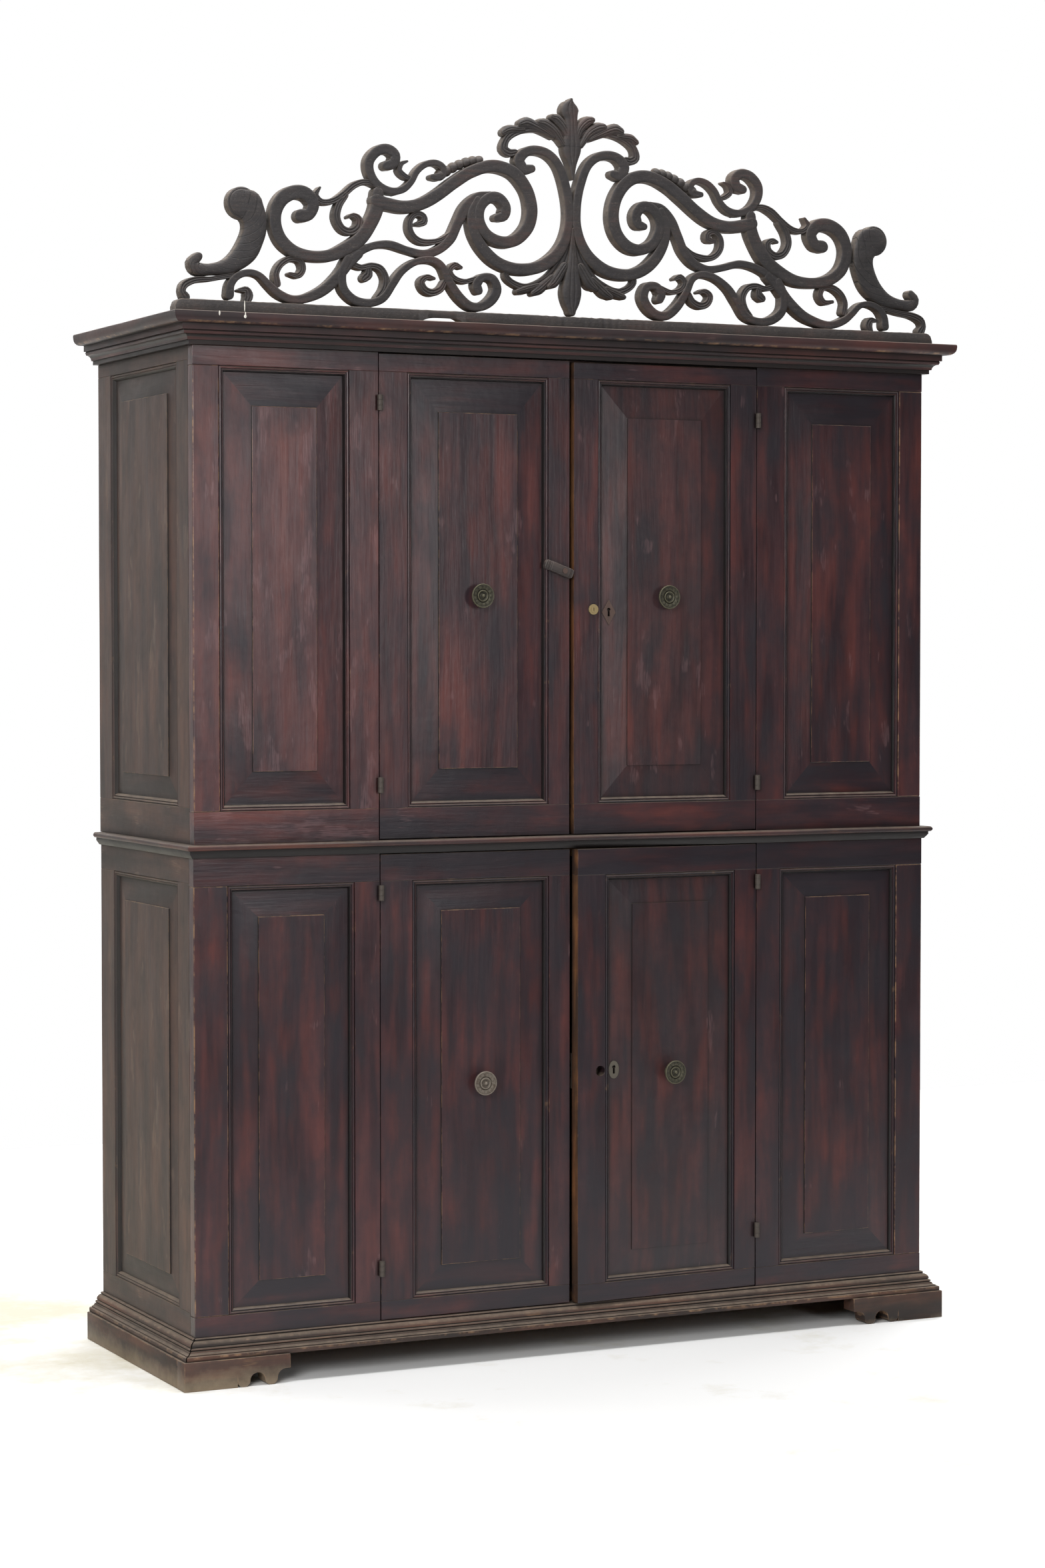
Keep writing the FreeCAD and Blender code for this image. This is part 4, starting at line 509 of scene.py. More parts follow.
# Doors: the same framing, hung on butt hinges at the outer edges. The lower right one stands a little open.
ajar_pivot = Matrix.Translation((0.458, FRONT - 0.007, 0))
AJAR = ajar_pivot @ Matrix.Rotation(math.radians(2.2), 4, "Z") @ ajar_pivot.inverted()
leaf("upper_left_door", -0.472, UPPER_FRONT, 1.1485, 0.456, 1.041, (0.066, 0.051),
     (0.0665, 0.0385), UPPER_BEVELS, 71, 0.03)
right_framing = leaf("upper_right_door", -0.005, UPPER_FRONT, 1.1485, 0.462, 1.0385,
                     (0.060, 0.066), (0.0665, 0.0360), None, 86, 0.04)
leaf("lower_left_door", -0.472, FRONT, 0.1075, 0.456, 1.008, (0.075, 0.051),
     (0.0405, 0.0575), LOWER_BEVELS, 97, 0.08)
# the lower right door has lost its lock cylinder: its stile shows the empty hole
ajar_framing = leaf("lower_right_door", -0.005, FRONT, 0.1075, 0.462, 1.008, (0.070, 0.055),
                    (0.0405, 0.0575), None, 113, 0.11, extra=AJAR, bore=(0.0575, 0.514, 0.0115))
# the meeting edges of both right doors were never stained
for framing in (right_framing, ajar_framing):
    framing.data.materials.append(raw_wood)
    for polygon in framing.data.polygons:
        if polygon.normal.x < -0.9 and polygon.center.x < -0.004:
            polygon.material_index = 1

# Mouldings: run in long lengths, mitred at the two front corners, with a plain rail at the back. The front
# run of the base has shrunk and its left mitre gapes.


def curve_part(start, end, hollow, steps=6):
    """A quarter ellipse between two corners of a section, bulging or hollow."""
    spots = []
    for number in range(1, steps + 1):
        turn = math.pi / 2 * number / steps
        across, upward = (math.sin(turn), 1 - math.cos(turn))
        if hollow:
            across, upward = upward, across
        spots.append((start[0] + (end[0] - start[0]) * across, start[1] + (end[1] - start[1]) * upward))
    return spots


def moulding(name, node, half, front, back, foot, section, wood, seed, mitre_gap=0.0):
    """Two side runs and the front run with the section (outward, upward) from the case face, and the back
    rail. What stands proud of the 5 mm above and below it is rubbed; what lies back is painted shade."""
    bm = blank()
    wear_and_shade = bm.faces.layers.float["wear_and_shade"]
    inner, rail_slack = 0.030, 0.0006
    high = max(up for out, up in section)
    ring = [(-inner, 0.0)] + section + [(-inner, high)]
    end_back = back - rail_slack
    corners = ((-half, end_back, -1, 0), (-half, front, -1, -1), (half, front, 1, -1), (half, end_back, 1, 0))
    for number, (start, end) in enumerate(zip(corners, corners[1:])):
        pair = []
        for x, y, out_x, out_y in (start, end):
            pair.append([Vector((x + out_x * out, y + out_y * out, foot + up)) for out, up in ring])
        count, gap = (22, mitre_gap) if number == 1 else (8, 0.0)
        stations = []
        for share in (step / count for step in range(count + 1)):
            pulled = Vector((gap * max(0, 1 - 3 * share), 0, 0))
            stations.append([a.lerp(b, share) + pulled for a, b in zip(*pair)])
        for face in drawn(bm, stations, seed=seed + number):
            spot = face.calc_center_median()
            proud = max(abs(spot.x) - half, front - spot.y)
            beside = [out for out, up in section if abs(up - spot.z + foot) < 0.005] or [proud]
            # faces lying back are marked below nought, which paints shade in them
            face[wear_and_shade] = max(-0.8, min(0.9, (proud - sum(beside) / len(beside)) / 0.003))
    unsteady(bm, 0.0005, 0.16)
    board_mesh(bm, (-half + inner, back - inner, foot), (half - inner, back, foot + high), 0, seed + 5)
    return finish(name, bm, [wood], "case", "case_wood", [node], sharp=38)


cornice_wood = stained_wood("stained_walnut_mouldings",
                            [(0.36, "#1e1719"), (0.47, "#2a1f21"), (0.57, "#382425"), (0.70, "#4b2b28")],
                            "#5c3026", "#6b5551", "#1d1b1e", dust=0.5, film=0.02, roughness=0.34)
waist_wood = stained_wood("stained_walnut_waist",
                          [(0.36, "#21181a"), (0.47, "#2f2223"), (0.57, "#3f2828"), (0.70, "#52302a")],
                          "#6b3a26", "#7e5436", "#1f1c1d", bare="#a05f3a", dust=0.5, roughness=0.34)
base_wood = stained_wood("worn_walnut_base",
                         [(0.38, "#211916"), (0.50, "#32241e"), (0.60, "#432e26"), (0.72, "#573a2b")],
                         "#6b3f2a", "#8f6f4e", "#1e1918", dust=0.8, film=0.04, roughness=0.45,
                         skirt="#8a7a64")
# cornice: a foot, a cove, a bead, a fascia, an ovolo and a nose
moulding("cornice_moulding", "cornice", 0.897, UPPER_FRONT, UPPER_BACK, 2.192, [
    (0.012, 0.0), (0.012, 0.009), (0.016, 0.009), *curve_part((0.016, 0.009), (0.028, 0.021), True),
    (0.0285, 0.023), *curve_part((0.0285, 0.0235), (0.0298, 0.026), False, 3), (0.0285, 0.029),
    (0.0335, 0.029), (0.0335, 0.042), (0.043, 0.042), *curve_part((0.043, 0.042), (0.058, 0.057), False),
    (0.0584, 0.060), (0.0582, 0.0645), (0.0565, 0.066)], cornice_wood, 5)
# waist: a slope, a fillet and a torus
moulding("waist_bead_moulding", "waist_moulding", 0.9, FRONT, LOWER_BACK, 1.118, [
    (0.004, 0.0), (0.0114, 0.010), (0.0114, 0.016), *curve_part((0.0126, 0.016), (0.0186, 0.022), False),
    *curve_part((0.0186, 0.022), (0.0126, 0.028), True)], waist_wood, 15)
# base: a fillet, an ovolo, a bead, a cove and a small bead
moulding("base_run_moulding", "base_moulding", 0.9, FRONT, LOWER_BACK, 0.062, [
    (0.0322, 0.0), (0.033, 0.001), (0.0332, 0.0055), (0.033, 0.0092), (0.0305, 0.0104), (0.027, 0.0106),
    (0.0268, 0.0118), (0.0284, 0.0124), *curve_part((0.0284, 0.0124), (0.0205, 0.0184), False, 5),
    (0.0170, 0.0188), (0.0170, 0.0200), (0.0180, 0.0205), (0.0190, 0.0222), (0.0178, 0.0243),
    (0.0142, 0.0250), (0.0142, 0.0265), (0.0155, 0.0272),
    *curve_part((0.0155, 0.0272), (0.0045, 0.0380), True), (0.0056, 0.0392), (0.0060, 0.0412),
    (0.0045, 0.0430)], base_wood, 25, 0.003)

# Bracket feet: boards sawn with two lobes and an arch under the front corners, and plain plinth boards down
# the sides, with their arrises knocked round.
FOOT_HIGH, PLINTH, PLINTH_THICK = 0.062, 0.038, 0.045
bm = blank()
flat, lobe, arch, notch, length, shoulder = 0.120, 0.014, 0.017, 0.012, 0.240, 0.020
outline = [(0, 0), (flat, 0), (flat, notch)]
across = flat
for wide, tall in ((lobe, -notch), (arch, arch), (lobe, -notch)):
    outline += curve_part((across, notch), (across + wide, notch + tall), True)
    outline += curve_part((across + wide, notch + tall), (across + 2 * wide, notch), False)
    across += 2 * wide
outline += curve_part((across, notch), (across + shoulder, notch + shoulder), True)
outline += [(length, notch + shoulder), (length, FOOT_HIGH), (0, FOOT_HIGH)]
outer = 0.9 + PLINTH
for side in (-1, 1):
    ring = [bm.verts.new((side * (outer - u), FRONT - PLINTH, v)) for u, v in outline]
    edges = [bm.edges.new(pair) for pair in zip(ring, ring[1:] + ring[:1])]
    face = bmesh.ops.contextual_create(bm, geom=edges)["faces"][0]
    out = bmesh.ops.extrude_face_region(bm, geom=[face])["geom"]
    fresh = [item for item in out if isinstance(item, bmesh.types.BMVert)]
    bmesh.ops.translate(bm, vec=(0, PLINTH_THICK, 0), verts=fresh)
bmesh.ops.recalc_face_normals(bm, faces=bm.faces)
arrises = [e for e in bm.edges if len(e.link_faces) == 2 and e.calc_face_angle() > 1.0]
bmesh.ops.bevel(bm, geom=arrises, offset=0.0012, segments=2, profile=0.5, affect="EDGES", material=-1)
mark_grain(bm, bm.faces, 0, 3)
wear_and_shade = bm.faces.layers.float["wear_and_shade"]
for face in bm.faces:
    face[wear_and_shade] = 0.0 if max(abs(n) for n in face.normal) > 0.98 else 1.0
for x in (-outer, outer - PLINTH_THICK):
    board_mesh(bm, (x, FRONT - PLINTH + PLINTH_THICK, 0), (x + PLINTH_THICK, LOWER_BACK, FOOT_HIGH), 1,
               8 + x, 0.0016, 5)
unsteady(bm, 0.0007, 0.09)
for vert in bm.verts:
    vert.co.z = max(vert.co.z, 0)
finish("bracket_feet", bm, [base_wood], "case", "case_wood", ["feet"], sharp=35)

# Crest board: a plain board set on edge above the cornice, hollowed at its two top corners, with white paint
# drips near its left end. It is the same dry, unpolished, near-black wood as the carving, with brown-grey
# dust on everything but its flat face; on the sides that brown-grey is partly painted light.
CREST_FOOT = 2.288
crest_wood, tree, shader, spot = new_material("dry_blackened_wood", Roughness=0.62)
# grain runs across the cupboard: 5 mm bands, 160 mm long
spread = add(tree, "Mapping", {"Vector": spot, "Scale": (1000 / 160, 1000 / 20, 1000 / 5)})
grain = add(tree, "TexNoise", {"Vector": spread, "Scale": 1.0, "Detail": 4.0})
patch = add(tree, "TexNoise", {"Vector": spot, "Scale": 1000 / 140, "Detail": 4.0, "Roughness": 0.6})
mixed = add(tree, "Math", {0: grain, 1: 0.4, 2: patch}, operation="MULTIPLY_ADD")
tone = add(tree, "ValToRGB", {0: mixed},
           [(0.45, "#181617"), (0.62, "#232022"), (0.74, "#2c2727"), (0.86, "#3a2b29")])
surface = add(tree, "NewGeometry").outputs
normal = add(tree, "SeparateXYZ", {0: surface["Normal"]}).outputs
flat = add(tree, "Math", {0: normal["Y"]}, operation="ABSOLUTE")
# the sides of straps and board are painted a lighter brown-grey: dust, and painted light falling on them
lit_dusty_sides = add(tree, "MapRange", {0: flat, 1: 0.85, 2: 0.25, 3: 0.03, 4: 0.55})
upward = add(tree, "MapRange", {0: normal["Z"], 1: 0.2, 2: 0.9, 4: 0.16})
dust = add(tree, "Math", {0: lit_dusty_sides, 1: upward})
broken = add(tree, "TexNoise", {"Vector": spot, "Scale": 1000 / 17, "Detail": 6.0, "Roughness": 0.7})
broken = add(tree, "MapRange", {0: broken, 1: 0.35, 2: 0.65, 3: 0.25, 4: 1.25})
dust = add(tree, "Math", {0: dust, 1: broken}, operation="MULTIPLY", use_clamp=True)
specks = add(tree, "TexNoise", {"Vector": spot, "Scale": 1000 / 4, "Detail": 3.0, "Roughness": 0.6})
# the cuts that are counted by the place layer are 1.2 mm wide and painted dark as the shade in them, and
# the palmette is glued on at one height
cut = add(tree, "Attribute", attribute_name="place").outputs["Vector"]
cut = add(tree, "Math", {0: add(tree, "SeparateXYZ", {0: cut})}, operation="FRACT")
cut = add(tree, "Math", {0: cut, 1: 0.5}, operation="SUBTRACT")
cut = add(tree, "Math", {0: cut}, operation="ABSOLUTE")
cut = add(tree, "MapRange", {0: cut, 1: 0.045, 2: 0.015})
place = add(tree, "SeparateXYZ", {0: spot}).outputs
joint = add(tree, "Math", {0: place["Z"], 1: 2.6605, 2: 0.0007}, operation="COMPARE")
middle = add(tree, "Math", {0: place["X"], 1: 0.0, 2: 0.042}, operation="COMPARE")
joint = add(tree, "Math", {0: joint, 1: middle}, operation="MULTIPLY")
cut = add(tree, "Math", {0: cut, 1: joint}, operation="MAXIMUM")
# painted shade in the hollows of the carving, found by ambient occlusion
crevice_shade = add(tree, "AmbientOcclusion", {"Distance": 0.010}, samples=4).outputs["AO"]
tone = covered(tree, tone, (
    ("#75675a", dust, 0.0, 1.0, 1.0), ("#766c60", specks, 0.6, 0.76, 0.3),
    ("#625a52", surface["Pointiness"], 0.52, 0.62, 0.3), ("#110e0e", crevice_shade, 0.9, 0.3, 0.75),
    ("#0d0b0b", cut, 0.0, 1.0, 0.85)))
marks = surface["Normal"]
for value, deep, invert in ((grain, 0.0004, False), (broken, 0.0005, False), (cut, 0.001, True)):
    marks = add(tree, "Bump", {"Height": value, "Distance": deep, "Normal": marks}, invert=invert)
plug(shader, {"Base Color": tone, "Normal": marks})

white_paint, tree, shader, spot = new_material("white_paint_drips", Roughness=0.45)
thin = add(tree, "TexNoise", {"Vector": spot, "Scale": 1000 / 3, "Detail": 2.0})
plug(shader, {"Base Color": add(tree, "ValToRGB", {0: thin}, [(0.3, "#b9b2a6"), (0.6, "#e2ded5")])})


def ragged(*spot):
    """How far a torn edge lies back at a spot, from nought to one."""
    return abs(noise.noise(Vector(spot)))


bm = blank()
board_half, board_low, board_front, board_back, hollow = 0.930, 2.258, -0.2625, -0.2285, 0.016
gap_middle, gap_half = -0.318, 0.055
stations = []
steps = 250
for step in range(-steps, steps + 1):
    x = board_half * step / steps
    fall = max(0.0, (abs(x) - board_half + hollow) / hollow)
    top = CREST_FOOT - hollow * (1 - math.sqrt(max(0.0, 1 - fall * fall)))
    torn = 1.0 + 3.0 * max(0.0, 1 - abs(x - 0.06) / 0.2)
    top -= 0.0009 * torn * ragged(x * 45, 0, 5.0) + 0.0010 * ragged(x * 14, 0, 2.0)
    front = board_front + 0.0010 * torn * ragged(x * 60, 3.0, 1.0)
    gap = max(0.0, 1 - ((x - gap_middle) / gap_half) ** 4)  # it has lifted here, and light shows under it
    low, back_low = board_low + 0.0128 * gap, board_low + 0.0185 * gap
    stations.append([Vector((x, *spot)) for spot in (
        (board_back, back_low), (front + 0.001, low), (front, low + 0.0012), (front, top - 0.0035),
        (front + 0.0008, top - 0.0012), (front + 0.0030, top), (board_back - 0.001, top),
        (board_back, top - 0.001))])
drawn(bm, stations, seed=2)
nose_front = UPPER_FRONT - 0.0583
drop_thick = 0.0007
for x, y, z, wide, high in (
        (-0.858, nose_front, 2.2535, 0.0018, 0.0050), (-0.776, board_front, 2.2770, 0.0013, 0.0120),
        (-0.8005, nose_front, 2.2525, 0.0014, 0.0058), (-0.801, nose_front, 2.2485, 0.0030, 0.0036)):
    drop = bmesh.ops.create_uvsphere(bm, u_segments=12, v_segments=8, radius=1, matrix=Matrix.Translation(
        (x, y, z)) @ Matrix.Diagonal((wide, drop_thick, high, 1)))
    for face in (face for vert in drop["verts"] for face in vert.link_faces):
        face.material_index = 1
finish("crest_plain_board", bm, [crest_wood, white_paint], "case", "crest_wood", ["crest_board"], sharp=40)

# Crest scrollwork: straps sawn from one thick board and carved on the front. The main scrolls are left flat
# with rounded arrises, the small ones are gouged into ridges, and the leaves are lobes with gouged veins.
# Each strap is a centre line (across, up from the crest board) with its width, in millimetres.
CREST_FRONT, CREST_BACK = -0.2585, -0.2325
SCROLL_POINTS = {
    "centre_c": ((-101, 318, 18), (-119, 316, 24), (-131, 334, 26), (-117, 352, 22), (-92, 359, 20),
        (-61, 353, 20), (-37, 332, 20), (-20, 294, 21), (-10, 247, 21), (-10, 202, 21), (-21, 162, 24),
        (-47, 127, 27), (-87, 104, 27), (-137, 98, 26), (-182, 110, 26), (-217, 137, 26), (-240, 174, 24),
        (-245, 212, 22), (-232, 244, 14)),
    "big_s": ((-469, 228, 30), (-447, 222, 28), (-407, 218, 27), (-367, 226, 27), (-327, 248, 27),
        (-287, 277, 27), (-247, 302, 27), (-197, 318, 27), (-147, 308, 28), (-114, 274, 28),
        (-101, 232, 28), (-109, 192, 28), (-137, 163, 27), (-172, 155, 25), (-207, 168, 24),
        (-227, 198, 24), (-225, 227, 24), (-205, 248, 24), (-181, 250, 24), (-164, 232, 24),
        (-169, 212, 24), (-185, 207, 16)),
    "outer_c": ((-645, 186, 28), (-627, 190, 26), (-617, 212, 28), (-632, 232, 30), (-659, 235, 30),
        (-687, 220, 30), (-702, 192, 28), (-702, 162, 27), (-689, 132, 27), (-659, 110, 26),
        (-617, 102, 24), (-577, 106, 26), (-542, 122, 28), (-507, 146, 30), (-484, 179, 30),
        (-469, 212, 30), (-467, 244, 26)),
    "top_vine": ((-601, 248, 5), (-610, 232, 12), (-597, 219, 12), (-572, 221, 13), (-545, 238, 14),
        (-519, 259, 15), (-492, 267, 12), (-462, 257, 12), (-427, 246, 10)),
    "inner_hook": ((-542, 235, 14), (-557, 212, 16), (-562, 187, 17), (-550, 165, 17), (-530, 159, 17),
        (-513, 170, 17), (-511, 186, 16), (-524, 194, 10), (-534, 190, 7)),
    "top_c": ((-447, 304, 20), (-431, 310, 24), (-427, 327, 24), (-444, 339, 22), (-467, 334, 22),
        (-486, 312, 22), (-485, 287, 20), (-467, 262, 18), (-437, 250, 16), (-409, 255, 15),
        (-389, 272, 14), (-375, 296, 14), (-355, 312, 14), (-332, 317, 13), (-314, 308, 15),
        (-313, 292, 15), (-325, 287, 16), (-339, 286, 12)),
    "top_comma": ((-398, 316, 5), (-411, 310, 10), (-416, 296, 12), (-403, 284, 12), (-387, 279, 8)),
    "vine": ((-537, 97, 22), (-517, 112, 20), (-497, 124, 17), (-467, 134, 16), (-437, 136, 17),
        (-397, 126, 16), (-357, 120, 18), (-322, 132, 20), (-295, 157, 22), (-277, 192, 22),
        (-259, 224, 24), (-232, 250, 18), (-202, 258, 10)),
    "under_s": ((-374, 183, 8), (-359, 188, 16), (-359, 200, 14), (-375, 205, 13), (-390, 192, 13),
        (-392, 172, 14), (-382, 155, 14), (-365, 146, 14), (-342, 146, 13), (-317, 153, 11),
        (-295, 168, 8)),
    "low_a": ((-807, 12, 20), (-804, 34, 18), (-789, 52, 16), (-762, 61, 14), (-739, 56, 14),
        (-719, 38, 16), (-697, 20, 18), (-667, 9, 18), (-637, 12, 20), (-597, 29, 23), (-562, 59, 24),
        (-537, 89, 24), (-512, 112, 20)),
    "low_a_eye": ((-785, 23, 6), (-769, 24, 16), (-763, 12, 20), (-767, 0, 16)),
    "leaf_a": ((-699, 40, 16), (-701, 62, 14), (-690, 82, 14), (-667, 95, 14), (-647, 92, 14),
        (-640, 75, 14), (-650, 60, 13), (-670, 62, 8)),
    "low_b": ((-537, 100, 20), (-550, 72, 20), (-547, 37, 20), (-522, 14, 20), (-487, 9, 18),
        (-455, 21, 18), (-433, 52, 18), (-409, 82, 16), (-377, 102, 15), (-342, 108, 16), (-317, 97, 16),
        (-301, 67, 18), (-277, 34, 20), (-249, 13, 20), (-222, 13, 20), (-197, 29, 22), (-185, 52, 22),
        (-195, 74, 20), (-219, 76, 18), (-233, 60, 22), (-229, 48, 20)),
    "leaf_b": ((-527, 90, 14), (-505, 84, 12), (-482, 89, 13), (-460, 83, 15), (-448, 62, 16),
        (-453, 38, 16), (-467, 20, 14)),
    "leaf_b_eye": ((-489, 84, 12), (-489, 70, 20), (-497, 62, 18)),
    "leaf_c": ((-335, 68, 7), (-351, 71, 12), (-364, 60, 15), (-357, 44, 16), (-339, 38, 16),
        (-319, 46, 15), (-309, 62, 12)),
    "leaf_d": ((-271, 95, 8), (-285, 100, 13), (-297, 87, 13), (-287, 72, 12), (-262, 65, 11),
        (-237, 72, 10), (-219, 80, 8)),
    "end_disc": ((-794, 208, 60), (-779, 206, 66), (-763, 204, 68)),
    "end_body": ((-762, 202, 66), (-749, 172, 56), (-751, 142, 52), (-769, 104, 50), (-805, 74, 36),
        (-847, 64, 24), (-879, 64, 28), (-887, 76, 24), (-877, 88, 20)),
    "end_foot": ((-797, 54, 10), (-847, 44, 10), (-882, 40, 14), (-905, 30, 16), (-911, 16, 14),
        (-905, 4, 20)),
    "palm_stem": ((-4, 474, 8), (-6, 464, 34), (-6, 450, 46), (-3, 434, 34), (-2, 412, 34), (-1, 382, 46),
        (-1, 362, 46), (0, 332, 22), (0, 302, 6)),
    "palm_arm": ((-12, 377, 20), (-42, 402, 26), (-82, 410, 22), (-117, 406, 22), (-145, 392, 18),
        (-161, 376, 16), (-165, 358, 20), (-152, 350, 18), (-139, 352, 14)),
    "palm_1": ((-46, 433, 18), (-37, 430, 24), (-19, 412, 22), (-7, 382, 14)),
    "palm_2": ((-75, 420, 20), (-65, 418, 26), (-42, 404, 22), (-22, 377, 14)),
    "palm_3": ((-122, 415, 20), (-109, 418, 26), (-77, 407, 20), (-47, 392, 12)),
    "palm_4": ((-164, 394, 18), (-152, 400, 22), (-122, 402, 16)),
    "acan_centre": ((-1, 12, 22), (-1, 30, 40), (-1, 52, 50), (0, 74, 44), (0, 112, 30), (0, 162, 14),
        (0, 192, 5)),
    "acan_arm": ((-5, 167, 10), (-22, 122, 26), (-47, 87, 26), (-82, 67, 20), (-117, 60, 16),
        (-145, 68, 14), (-160, 82, 13), (-157, 96, 12), (-145, 98, 10)),
    "acan_1": ((-57, 64, 12), (-45, 74, 26), (-22, 107, 24)),
    "acan_2": ((-95, 48, 14), (-79, 58, 24), (-52, 82, 18)),
    "acan_3": ((-131, 50, 14), (-115, 55, 20), (-87, 64, 16)),
}
MIDDLE_STRAPS = ("palm_stem", "acan_centre")


def even(half, *middle):
    """A section with two like halves, and a ridge between them if there is one."""
    return (*half, *middle, *((-place, depth) for place, depth in reversed(half)))


# sections across a strap: place from one edge (-1) to the other (1), and depth below the face in mm
FLAT = even(((-1, 3.0), (-0.97, 1.6), (-0.9, 0.7), (-0.76, 0.2), (-0.5, 0.0), (-0.17, 0.2)))
GOUGED = ((-1, 3.2), (-0.95, 1.5), (-0.84, 0.6), (-0.68, 0.3), (-0.5, 0.8), (-0.36, 2.0), (-0.2, 1.0),
          (0.0, 0.5), (0.2, 0.9), (0.38, 2.4), (0.52, 1.0), (0.7, 0.3), (0.86, 0.7), (0.96, 1.6), (1, 3.2))
LOBE = even(((-1, 8.5), (-0.94, 5.5), (-0.82, 3.0), (-0.66, 1.5), (-0.48, 0.8), (-0.34, 0.6), (-0.25, 1.8),
             (-0.15, 0.4)), (0.0, 0.1))
FULL = even(((-1, 7.0), (-0.95, 4.4), (-0.86, 2.6), (-0.72, 1.4), (-0.55, 0.7), (-0.38, 0.3), (-0.2, 0.1)),
            (0, 0.0))
CARVING = {  # section and depth of the strap's face below the board's, in mm; the small straps are gouged
    "centre_c": (FLAT, 0.6), "big_s": (FLAT, 0.0), "outer_c": (FLAT, 0.4), "top_c": (FLAT, 1.0),
    "vine": (FLAT, 1.5), "low_a": (FLAT, 1.2), "low_b": (FLAT, 0.8), "end_body": (FULL, 0.0),
    "palm_stem": (LOBE, 0.0), "palm_arm": (GOUGED, 5.5), "palm_1": (LOBE, 1.0), "palm_2": (LOBE, 2.2),
    "palm_3": (LOBE, 3.4), "palm_4": (LOBE, 4.6), "acan_centre": (LOBE, 0.0), "acan_arm": (GOUGED, 5.0),
    "acan_1": (LOBE, 1.0), "acan_2": (LOBE, 2.2), "acan_3": (LOBE, 3.4),
}


def centre_line(points, across_of, spacing):
    """A smooth line through the strap's points. Each point is across, up and the half width, in metres."""
    knots = [Vector((across_of(a) / 1000, b / 1000, c / 2000)) for a, b, c in points]
    slopes = []
    for number, knot in enumerate(knots):
        before, after = knots[max(number - 1, 0)], knots[min(number + 1, len(knots) - 1)]
        slopes.append((after - before) / ((after - knot).length + (knot - before).length))
    spots = []
    for number, (start, end) in enumerate(zip(knots, knots[1:])):
        reach = (end - start).length / 3
        count = max(3, round((end - start).length / spacing) + 1)
        part = geometry.interpolate_bezier(start, start + slopes[number] * reach,
                                           end - slopes[number + 1] * reach, end, count)
        spots += part[1:] if spots else part
    return spots


def carve_strap(name, points, across_of, seed):
    """One strap with its section drawn along the centre line and both ends rounded. It is narrowed on the
    inside of a bend, so that it doesn't fold, and a narrow one is cut less deep."""
    section, set_back = CARVING.get(name, (GOUGED, 2.2))
    spacing, least_half, full_width, cut_pitch = 0.0045, 0.002, 0.018, 0.028
    line = centre_line(points, across_of, spacing)
    flat = [Vector((spot.x, spot.y)) for spot in line]
    runs = []
    for number, spot in enumerate(flat):
        before, after = flat[max(number - 1, 0)], flat[min(number + 1, len(flat) - 1)]
        left = right = max(line[number].z, least_half)
        if 0 < number < len(flat) - 1:
            first, second = spot - before, after - spot
            bend = first.angle_signed(second) / ((first.length + second.length) / 2)
            if bend > 0:
                right = min(right, 0.97 / bend)
            elif bend < 0:
                left = min(left, -0.97 / bend)
        runs.append((spot, (after - before).normalized(), left, right, 0.0))
    for end, sign in ((0, -1), (-1, 1)):
        spot, along, left, right, low = runs[end]
        for degrees in (22, 43, 62, 76, 85):
            turn = math.radians(degrees)
            here = (spot + along * (sign * left * math.sin(turn)), along, left * math.cos(turn),
                    right * math.cos(turn), 0.0022 * (1 - math.cos(turn)) ** 2)
            runs.insert(0, here) if sign < 0 else runs.append(here)
    stations = []
    for spot, along, left, right, low in runs:
        across = Vector((along.y, -along.x))
        outline = [(-left, CREST_BACK)]
        scale = min(1.0, (left + right) / full_width)
        for place, depth in section:
            depth = (depth * scale + set_back) / 1000 + low
            outline.append((place * (left if place < 0 else right), CREST_FRONT + depth))
        outline.append((right, CREST_BACK))
        stations.append([Vector((spot.x + across.x * s, y, CREST_FOOT + spot.y + across.y * s))
                         for s, y in outline])
    part = blank()
    drawn(part, stations, seed=seed)
    # the fine cuts are painted as dark lines of shade, from the count made here
    if section is FULL:  # fine cuts lean along the swelling body: count them at each corner
        grain, cuts = part.loops.layers.float_vector["grain"], part.loops.layers.float_vector["place"]
        side = 1 if line[0].x > 0 else -1
        for corner in (corner for face in part.faces for corner in face.loops):
            number = round((corner[grain].x - seed * APART[0]) / WRAP * len(stations[0]))
            place = section[min(max(number - 1, 0), len(section) - 1)][0]
            run = corner[grain].z - seed * APART[2]
            corner[cuts].x = run / cut_pitch + 1.25 * side * place + 0.3 * place * place + 2
    return part


def join_in(bm, part):
    """Add one piece of carving to the rest."""
    mesh = bpy.data.meshes.new("carving")
    part.to_mesh(mesh)
    part.free()
    bm.from_mesh(mesh)
    bpy.data.meshes.remove(mesh)


def squeezed(across):
    """The right half is the left half mirrored, with its middle scrolls up to 18 mm closer in."""
    start, end, most, away = 90, 720, 18, abs(across)
    return away - most * math.sin(math.pi * (away - start) / (end - start)) if start < away < end else away


def turned_mesh(bm, outline, steps):
    """Turn an outline of radius and depth round the Y axis."""
    rim = [bm.verts.new((radius, depth, 0)) for radius, depth in outline]
    lines = [bm.edges.new(pair) for pair in zip(rim, rim[1:])]
    bmesh.ops.spin(bm, geom=rim + lines, cent=(0, 0, 0), axis=(0, 1, 0), angle=2 * math.pi, steps=steps,
                   use_merge=True)
    bmesh.ops.remove_doubles(bm, verts=bm.verts, dist=0.00001)
    bmesh.ops.recalc_face_normals(bm, faces=bm.faces)


bm = blank()
for number, (name, points) in enumerate(SCROLL_POINTS.items()):
    if name == "end_disc":
        continue
    join_in(bm, carve_strap(name, points, float, number))
    if name not in MIDDLE_STRAPS:
        join_in(bm, carve_strap(name, points, squeezed, number + 50))
